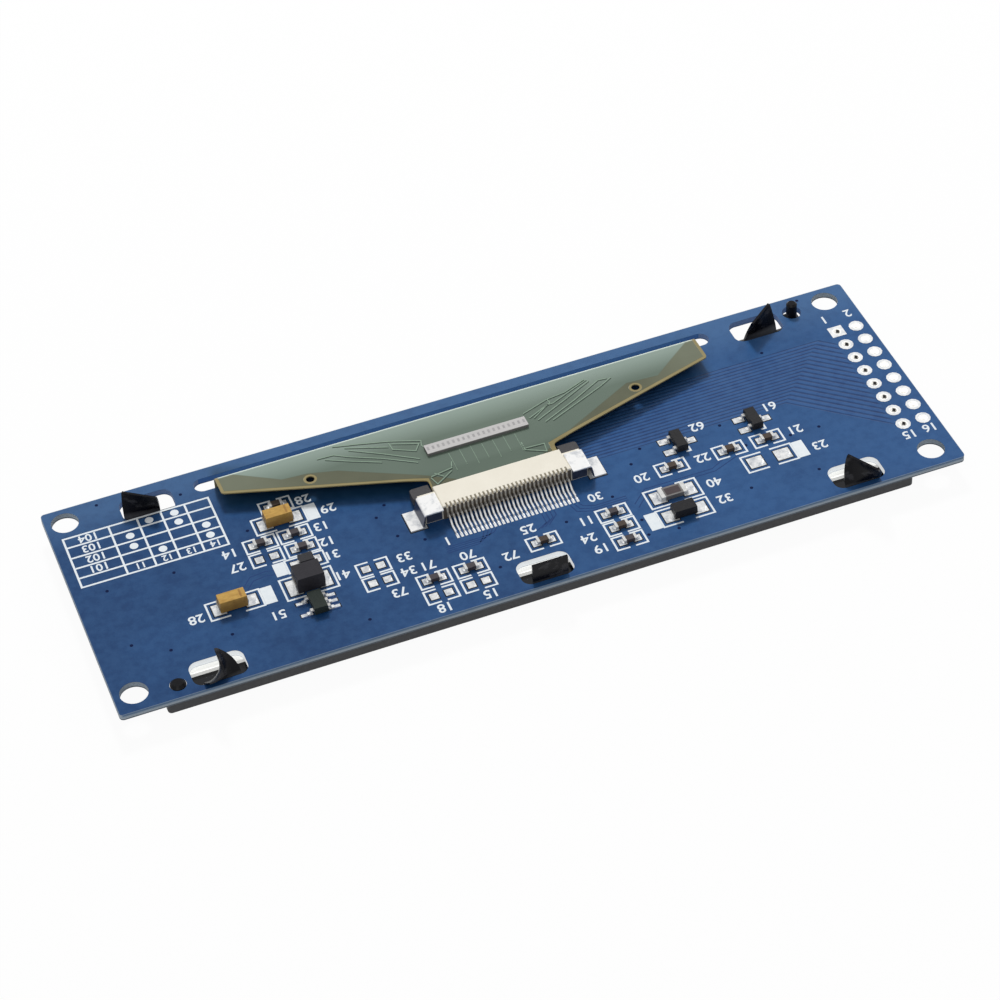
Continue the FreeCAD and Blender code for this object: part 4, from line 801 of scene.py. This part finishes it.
# The green cover carries a broad painted sheen, is painted lighter towards the fold, a painted light, and has a
# pale painted glint along the crest of the fold.
sheen = ribbon.noise(0.07, 2)
fold_start, fold_soft, upper_half = 10.6, 1.6, 3.4
fold_painted_light = 1 - y.below(fold_start, fold_soft)
green = ribbon.shades(sheen, (84, 99, 88), (104, 119, 107))
green = ribbon.mix(fold_painted_light * 0.85, green, seen_as(140, 156, 147))
olive = ribbon.shades(mottle, (78, 82, 64), (98, 100, 80))
olive = ribbon.mix(abs(x).between(24.0, 40.0, 3.0) * 0.6, olive, seen_as(114, 120, 102))
green = ribbon.mix(olive_part, green, olive)
painted_fold_glint = y.between(ribbon_high.y - 0.6, ribbon_high.y - 0.15, 0.12) * (1 - z.below(upper_half, 0.3))
green = ribbon.mix(painted_fold_glint, green, seen_as(206, 218, 206))
amber = ribbon.shades(mottle, (126, 115, 77), (154, 142, 100))
fine = ribbon.noise(6, 2)
dress("ribbon", ribbon.surface(
    Base_Color=ribbon.mix(cover, amber, green), Roughness=0.26 + mottle * 0.16, Specular_IOR_Level=0.4,
    Normal=ribbon.bump(cover * 0.6 + fine * 0.08 + (1 - olive_part) * 0.3, 0.05)))

# Ribbon tracks: copper bundles that fan from the driver chip to the fold, and short fans beside
# the neck; they follow the ribbon's surface just under the cover layer. Each is drawn as a pale
# line, the track with its lit top painted in, beside a dark line on its near side, a painted shadow.
ribbon_mesh = nodes["ribbon"].data
ribbon_skin = BVHTree.FromPolygons([corner.co * 1000 for corner in ribbon_mesh.vertices],
                                   [list(face.vertices) for face in ribbon_mesh.polygons])


def on_ribbon(x, y):
    """The height of the ribbon's upper surface."""
    hit = ribbon_skin.ray_cast(Vector((x, y, 30)), Vector((0, 0, -1)))[0]
    return hit.z if hit else ribbon_high.z


track_routes = [
    [(6.0, 8.7), (9.4, 9.9), (11.7, 10.2), (14.6, 11.4)], [(6.4, 7.7), (9.5, 9.2), (9.4, 9.9)],
    [(6.9, 7.5), (9.1, 9.0), (9.8, 9.0), (14.8, 11.2)], [(7.2, 7.0), (11.3, 9.0), (15.0, 10.9)],
    [(7.9, 6.4), (12.3, 8.5), (16.1, 10.6), (17.1, 10.5)], [(8.8, 6.3), (12.4, 7.9), (16.0, 9.5), (17.6, 10.4)],
    [(4.0, 4.2), (4.0, 3.0), (6.3, 2.0), (6.4, 3.1), (4.2, 3.2)],
    [(-16.2, 12.4), (-13.3, 11.6), (-10.0, 10.6), (-6.5, 9.2), (-6.7, 8.4), (-6.4, 7.5)],
    [(-15.0, 11.6), (-10.4, 9.7)],
    [(-10.1, 10.3), (-10.0, 9.1), (-7.6, 7.8), (-6.9, 8.8), (-9.8, 10.0)],
    [(-14.7, 11.0), (-11.2, 8.8), (-7.7, 6.4)],
    [(-18.5, 11.1), (-16.6, 11.0), (-15.1, 10.0), (-11.5, 8.1), (-8.1, 5.9)],
    [(-17.7, 10.6), (-15.3, 9.3), (-11.9, 7.6)],
    [(-7.4, 3.1), (-4.8, 3.5), (-4.5, 4.4)], [(-7.5, 2.9), (-7.1, 1.9), (-5.0, 3.1)],
    [(-6.9, 3.4), (-6.1, 2.7)]]
straight_tracks = [[(-4.3 + 1.35 * n, 5.9 + 0.15 * (n % 3)), (-4.3 + 1.35 * n, 3.0 + 0.4 * (n % 2))]
                   for n in range(7)]


def drape(work, route, width, lift, height, shift=0.0):
    """A thin line that follows the ribbon's skin."""
    spots = [Vector(route[0]) + Vector((0, shift))]
    for place in route[1:]:
        goal = Vector(place) + Vector((0, shift))
        steps = max(1, int((goal - spots[-1]).length / 0.25))
        first = spots[-1]
        spots += [first.lerp(goal, (step + 1) / steps) for step in range(steps)]
    level = len(work.corners)
    work.line(spots, width, lift, lift + height)
    work.corners[level:] = [(x, y, z + on_ribbon(x, y)) for x, y, z in work.corners[level:]]


for name, width, lift, shift, dark, pale in (
        ("ribbon_tracks", 0.12, 0.008, 0.0, (122, 143, 126), (146, 166, 148)),
        ("ribbon_track_shadows", 0.12, 0.006, -0.14, (46, 58, 52), (64, 76, 68))):
    lines = FlatWork()
    for route in track_routes:
        drape(lines, route, width, lift, 0.012, shift)
    for route in straight_tracks:
        drape(lines, route, width * 0.45, lift, 0.004, shift * 0.5)
    piece = lines.piece(name, speckled(name, (2, 3), dark, pale, 0.35, 0.1, 0.01, Specular_IOR_Level=0.3))
    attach(piece, "module")

# Driver chip: a long bare silicon die, bonded face down on the ribbon's tracks; its back is ground
# to a fine grey finish, with a row of darker ticks along the middle.
ground = Finish("ground_silicon")
x, y, z = ground.place()
scratches = ground.noise(2.5, 4, (0.25, 3, 1), 0.6)
chip_low, chip_high = (corner * 1000 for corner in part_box("driver_chip"))
tick_pitch, tick_reach, tick_shift, back_depth = 0.62, 0.28, 0.05, 0.06
ticks = (abs(((x - chip_low.x) / tick_pitch).math("FRACT") - 0.5).below(0.22, 0.08)
         * abs(y - (chip_low.y + chip_high.y) / 2 - tick_shift).below(tick_reach, 0.06))
back = ground.mix(ticks * scratches, ground.shades(scratches, (176, 174, 174), (204, 202, 200)),
                  seen_as(116, 114, 118))
# The chip's sides below its back are painted darker, a painted shade.
dress("driver_chip", ground.surface(
    Base_Color=ground.mix(z.below(chip_high.z - back_depth, 0.02) * 0.75, back, seen_as(70, 70, 72)),
    Roughness=0.42 + scratches * 0.12, Normal=ground.bump(scratches, 0.01)))

# Ribbon connector: a cream moulded housing with a row of tinned contacts, tinned hold-downs at
# the shoulders and a dark grey slider that clamps the ribbon.
cream = Finish("cream_moulding")
x, y, z = cream.place()
housing_low, housing_high = (corner * 1000 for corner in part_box("connector_housing"))
flow = cream.noise(0.35, 3)
grain = cream.noise(8, 3)
# The housing's front face below the top is painted dark brown, a painted shade for the shaded grooves between
# the contacts.
contact_front = y.below(housing_low.y + 0.03, 0.01) * z.below(housing_high.z - 0.2, 0.05)
dress("connector_housing", cream.surface(
    Base_Color=cream.mix(contact_front, cream.shades(flow, (226, 220, 205), (242, 237, 224)),
                         cream.shades(flow, (78, 70, 60), (98, 90, 78))),
    Roughness=0.5 + grain * 0.12, Specular_IOR_Level=0.4, Normal=cream.bump(grain, 0.015)))
dress("connector_slider", speckled(
    "slider_moulding", (4.5, 5, (1, 1, 1), 0.7), (44, 43, 45), (82, 81, 83), 0.5, 0.18, 0.03))
plate = Finish("stamped_tin")
x, y, z = plate.place()
drawn = plate.noise(1.1, 4, roughness=0.6)
# The hold-downs' upright faces are painted dark navy, a painted reflection of the blue board.
upright = z.between(board_top + 0.3, housing_high.z - 0.25, 0.05)
flat_tin = plate.shades(drawn.between(0.6, 0.95, 0.12), (251, 251, 250), (206, 209, 213))
dress("connector_hold_downs", plate.surface(
    Base_Color=plate.mix(upright, flat_tin, plate.shades(drawn, (34, 42, 66), (84, 92, 112))),
    Metallic=0.35, Roughness=0.26 + drawn * 0.14, Normal=plate.bump(drawn, 0.014)))
legs, root_level = Finish("contact_tin"), 3.62
x, y, z = legs.place()
drawn = legs.noise(1.5, 3)
root = 1 - z.below(root_level, 0.12)
leg_look = legs.surface(
    Base_Color=legs.mix(root * 0.75, legs.shades(drawn, (232, 233, 232), (254, 254, 253)),
                        seen_as(120, 114, 104)),
    Metallic=0.45, Roughness=0.26 + drawn * 0.1, Normal=legs.bump(drawn, 0.01))
dress("connector_contacts", leg_look)
# The aprons are painted dark navy, a painted reflection of the blue board in their upright tin.
apron_y, apron_thick, apron_inset, left_end, right_end = -2.33, 0.1, 0.1, -8.2, 7.64
aprons = FlatWork()
for low_x, high_x in ((housing_low.x + apron_inset, left_end), (right_end, housing_high.x - apron_inset)):
    aprons.block(low_x, apron_y - apron_thick, high_x, apron_y, board_top + 0.15, housing_high.z - 0.35)
hold_down_aprons = aprons.piece("hold_down_aprons", speckled(
    "apron_tin", (1.8, 3), (36, 44, 68), (88, 96, 116), 0.3, 0.15, 0.03, Metallic=0.45))
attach(hold_down_aprons, "module")


def contact_row(pattern):
    """A point for each contact, in a row along x."""
    step = pattern.node("ShaderNodeCombineXYZ", X=pattern.size("Pitch"))
    return pattern.node("GeometryNodeMeshLine", Count=pattern.size("Count"), Offset=step)


contact_count, contact_pitch = 30, 0.5
contact_low, contact_high = (corner * 1000 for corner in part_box("connector_lands"))
first_x = (contact_low.x + contact_high.x) / 2 - (contact_count - 1) * contact_pitch / 2
bead_size, bead_y = (0.23, 1.9, 0.2), contact_low.y + 1.15
feet = Pattern("contact_solder_pattern", Pitch=contact_pitch, Count=contact_count)
bead = feet.node("GeometryNodeMeshUVSphere", Segments=8, Rings=5, Radius=0.5 * MM)
spread = feet.node("GeometryNodeInstanceOnPoints", Points=contact_row(feet), Instance=bead, Scale=bead_size)
contact_solder = feet.settle(feet.make("contact_solder", spread, solder_look,
                                       move=(first_x, bead_y, contact_high.z)))
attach(contact_solder, "module")
blade_width, blade_proud, blade_height, blade_sunk, blade_drop = 0.2, 0.06, 1.35, 0.02, 0.35
blades = Pattern("contact_blade_pattern", Pitch=contact_pitch, Count=contact_count, Width=blade_width,
                 Proud=blade_proud, Height=blade_height)
blade = blades.node("GeometryNodeMeshCube", Size=blades.node(
    "ShaderNodeCombineXYZ", X=blades.size("Width"), Y=blades.size("Proud"), Z=blades.size("Height")))
spread = blades.node("GeometryNodeInstanceOnPoints", Points=contact_row(blades), Instance=blade)
blade_look = speckled("blade_tin", (2, 3), (176, 170, 158), (212, 208, 198), 0.35, 0.1, 0.01, Metallic=0.3)
contact_blades = blades.settle(blades.make("contact_blades", spread, blade_look, move=(
    first_x, housing_low.y - blade_sunk, housing_high.z - blade_drop - blade_height / 2)))
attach(contact_blades, "module")

# Chip parts: fired ceramic blocks with tinned ends; resistors have a dark glaze on top, and
# capacitors are plain brown.
dress("resistor_bodies", speckled("resistor_glaze", (3, 4), (38, 35, 40), (76, 70, 74), 0.35, 0.15, 0.02))
dress("capacitor_bodies", speckled("capacitor_ceramic", (4, 4), (44, 37, 33), (78, 64, 54), 0.5, 0.1, 0.015))
end_look = speckled("plated_ends", (3, 4), (184, 184, 182), (250, 250, 248), 0.35, 0.15, 0.04, Metallic=0.5)
for name in ("resistor_ends", "capacitor_ends", "large_resistor_ends"):
    dress(name, end_look)
large_glaze = Finish("large_resistor_glaze")
x, y, z = large_glaze.place()
low, high = (corner * 1000 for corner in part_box("large_resistor_body"))
patch = large_glaze.noise(2.2, 4)
window_side, window_end, skin = 0.2, 0.22, 0.05
window = (abs(x - (low.x + high.x) / 2).below((high.x - low.x) / 2 - window_side, 0.04)
          * abs(y - (low.y + high.y) / 2).below((high.y - low.y) / 2 - window_end, 0.04)
          * (1 - z.below(high.z - skin, 0.02)))
dress("large_resistor_body", large_glaze.surface(
    Base_Color=large_glaze.mix(window, large_glaze.shades(patch, (96, 94, 94), (128, 126, 124)),
                               large_glaze.shades(patch, (44, 38, 42), (74, 60, 62))),
    Roughness=0.35 + patch * 0.15, Normal=large_glaze.bump(patch * 0.3 + window * 0.5, 0.03)))

# Tantalum capacitors: moulded in golden resin, with a darker bar laser-marked at one end and
# tinned straps folded under both ends.
resin = Finish("golden_resin")
x, y, z = resin.place()
swirl = resin.noise(1.0, 4, (1, 2.5, 1), 0.65)
blotch = resin.noise(2.2, 3)
speckle = resin.noise(9, 3)
golden = resin.shades(swirl, (140, 100, 34), (220, 180, 96))
golden = resin.mix(blotch.between(0.6, 0.95, 0.15) * 0.28, golden, seen_as(130, 84, 32))
# Lower down the resin is painted darker, a painted shade.
golden = resin.mix(z.below(board_top + 1.25, 0.35) * 0.45, golden, seen_as(96, 62, 20))
marked = golden
mark_inset, mark_width, mark_length = 0.62, 0.12, 0.6
for low, high in loose_parts("tantalum_bodies"):
    bar = (abs(x - (high.x - mark_inset)).below(mark_width, 0.04)
           * abs(y - (low.y + high.y) / 2).below(mark_length, 0.04) * (1 - z.below(high.z - skin, 0.02)))
    marked = resin.mix(bar * 0.6, marked, seen_as(122, 78, 34))
dress("tantalum_bodies", resin.surface(
    Base_Color=marked, Roughness=0.32 + speckle * 0.16, Normal=resin.bump(speckle * 0.6 + swirl * 0.4, 0.025)))
for name in ("tantalum_leads", "inductor_leads", "large_diode_leads", "small_diode_leads", "regulator_leads",
             "transistor_leads"):
    dress(name, leg_look)


# Black moulded parts: inductor, diodes, regulator and transistors in filled epoxy, each with the
# fine grain of its mould.
def moulded_black(name, dark, pale, ripples, gloss):
    epoxy = Finish(name)
    grain = epoxy.noise(ripples, 4, roughness=0.65)
    cloud = epoxy.noise(0.8, 2)
    return epoxy.surface(
        Base_Color=epoxy.shades(grain * 0.6 + cloud * 0.4, dark, pale), Roughness=gloss + grain * 0.16,
        Specular_IOR_Level=0.25, Normal=epoxy.bump(grain, 0.025))


dress("inductor_body", moulded_black("inductor_epoxy", (27, 26, 31), (58, 57, 62), 5, 0.45))
dress("large_diode_body", moulded_black("diode_epoxy", (16, 16, 18), (38, 38, 41), 7, 0.36))
dress("small_diode_body", moulded_black("small_diode_epoxy", (34, 34, 36), (64, 64, 67), 8, 0.42))
dress("regulator_body", moulded_black("regulator_epoxy", (24, 30, 28), (50, 58, 54), 7, 0.42))
dress("transistor_bodies", moulded_black("transistor_epoxy", (20, 20, 22), (44, 44, 46), 7, 0.38))
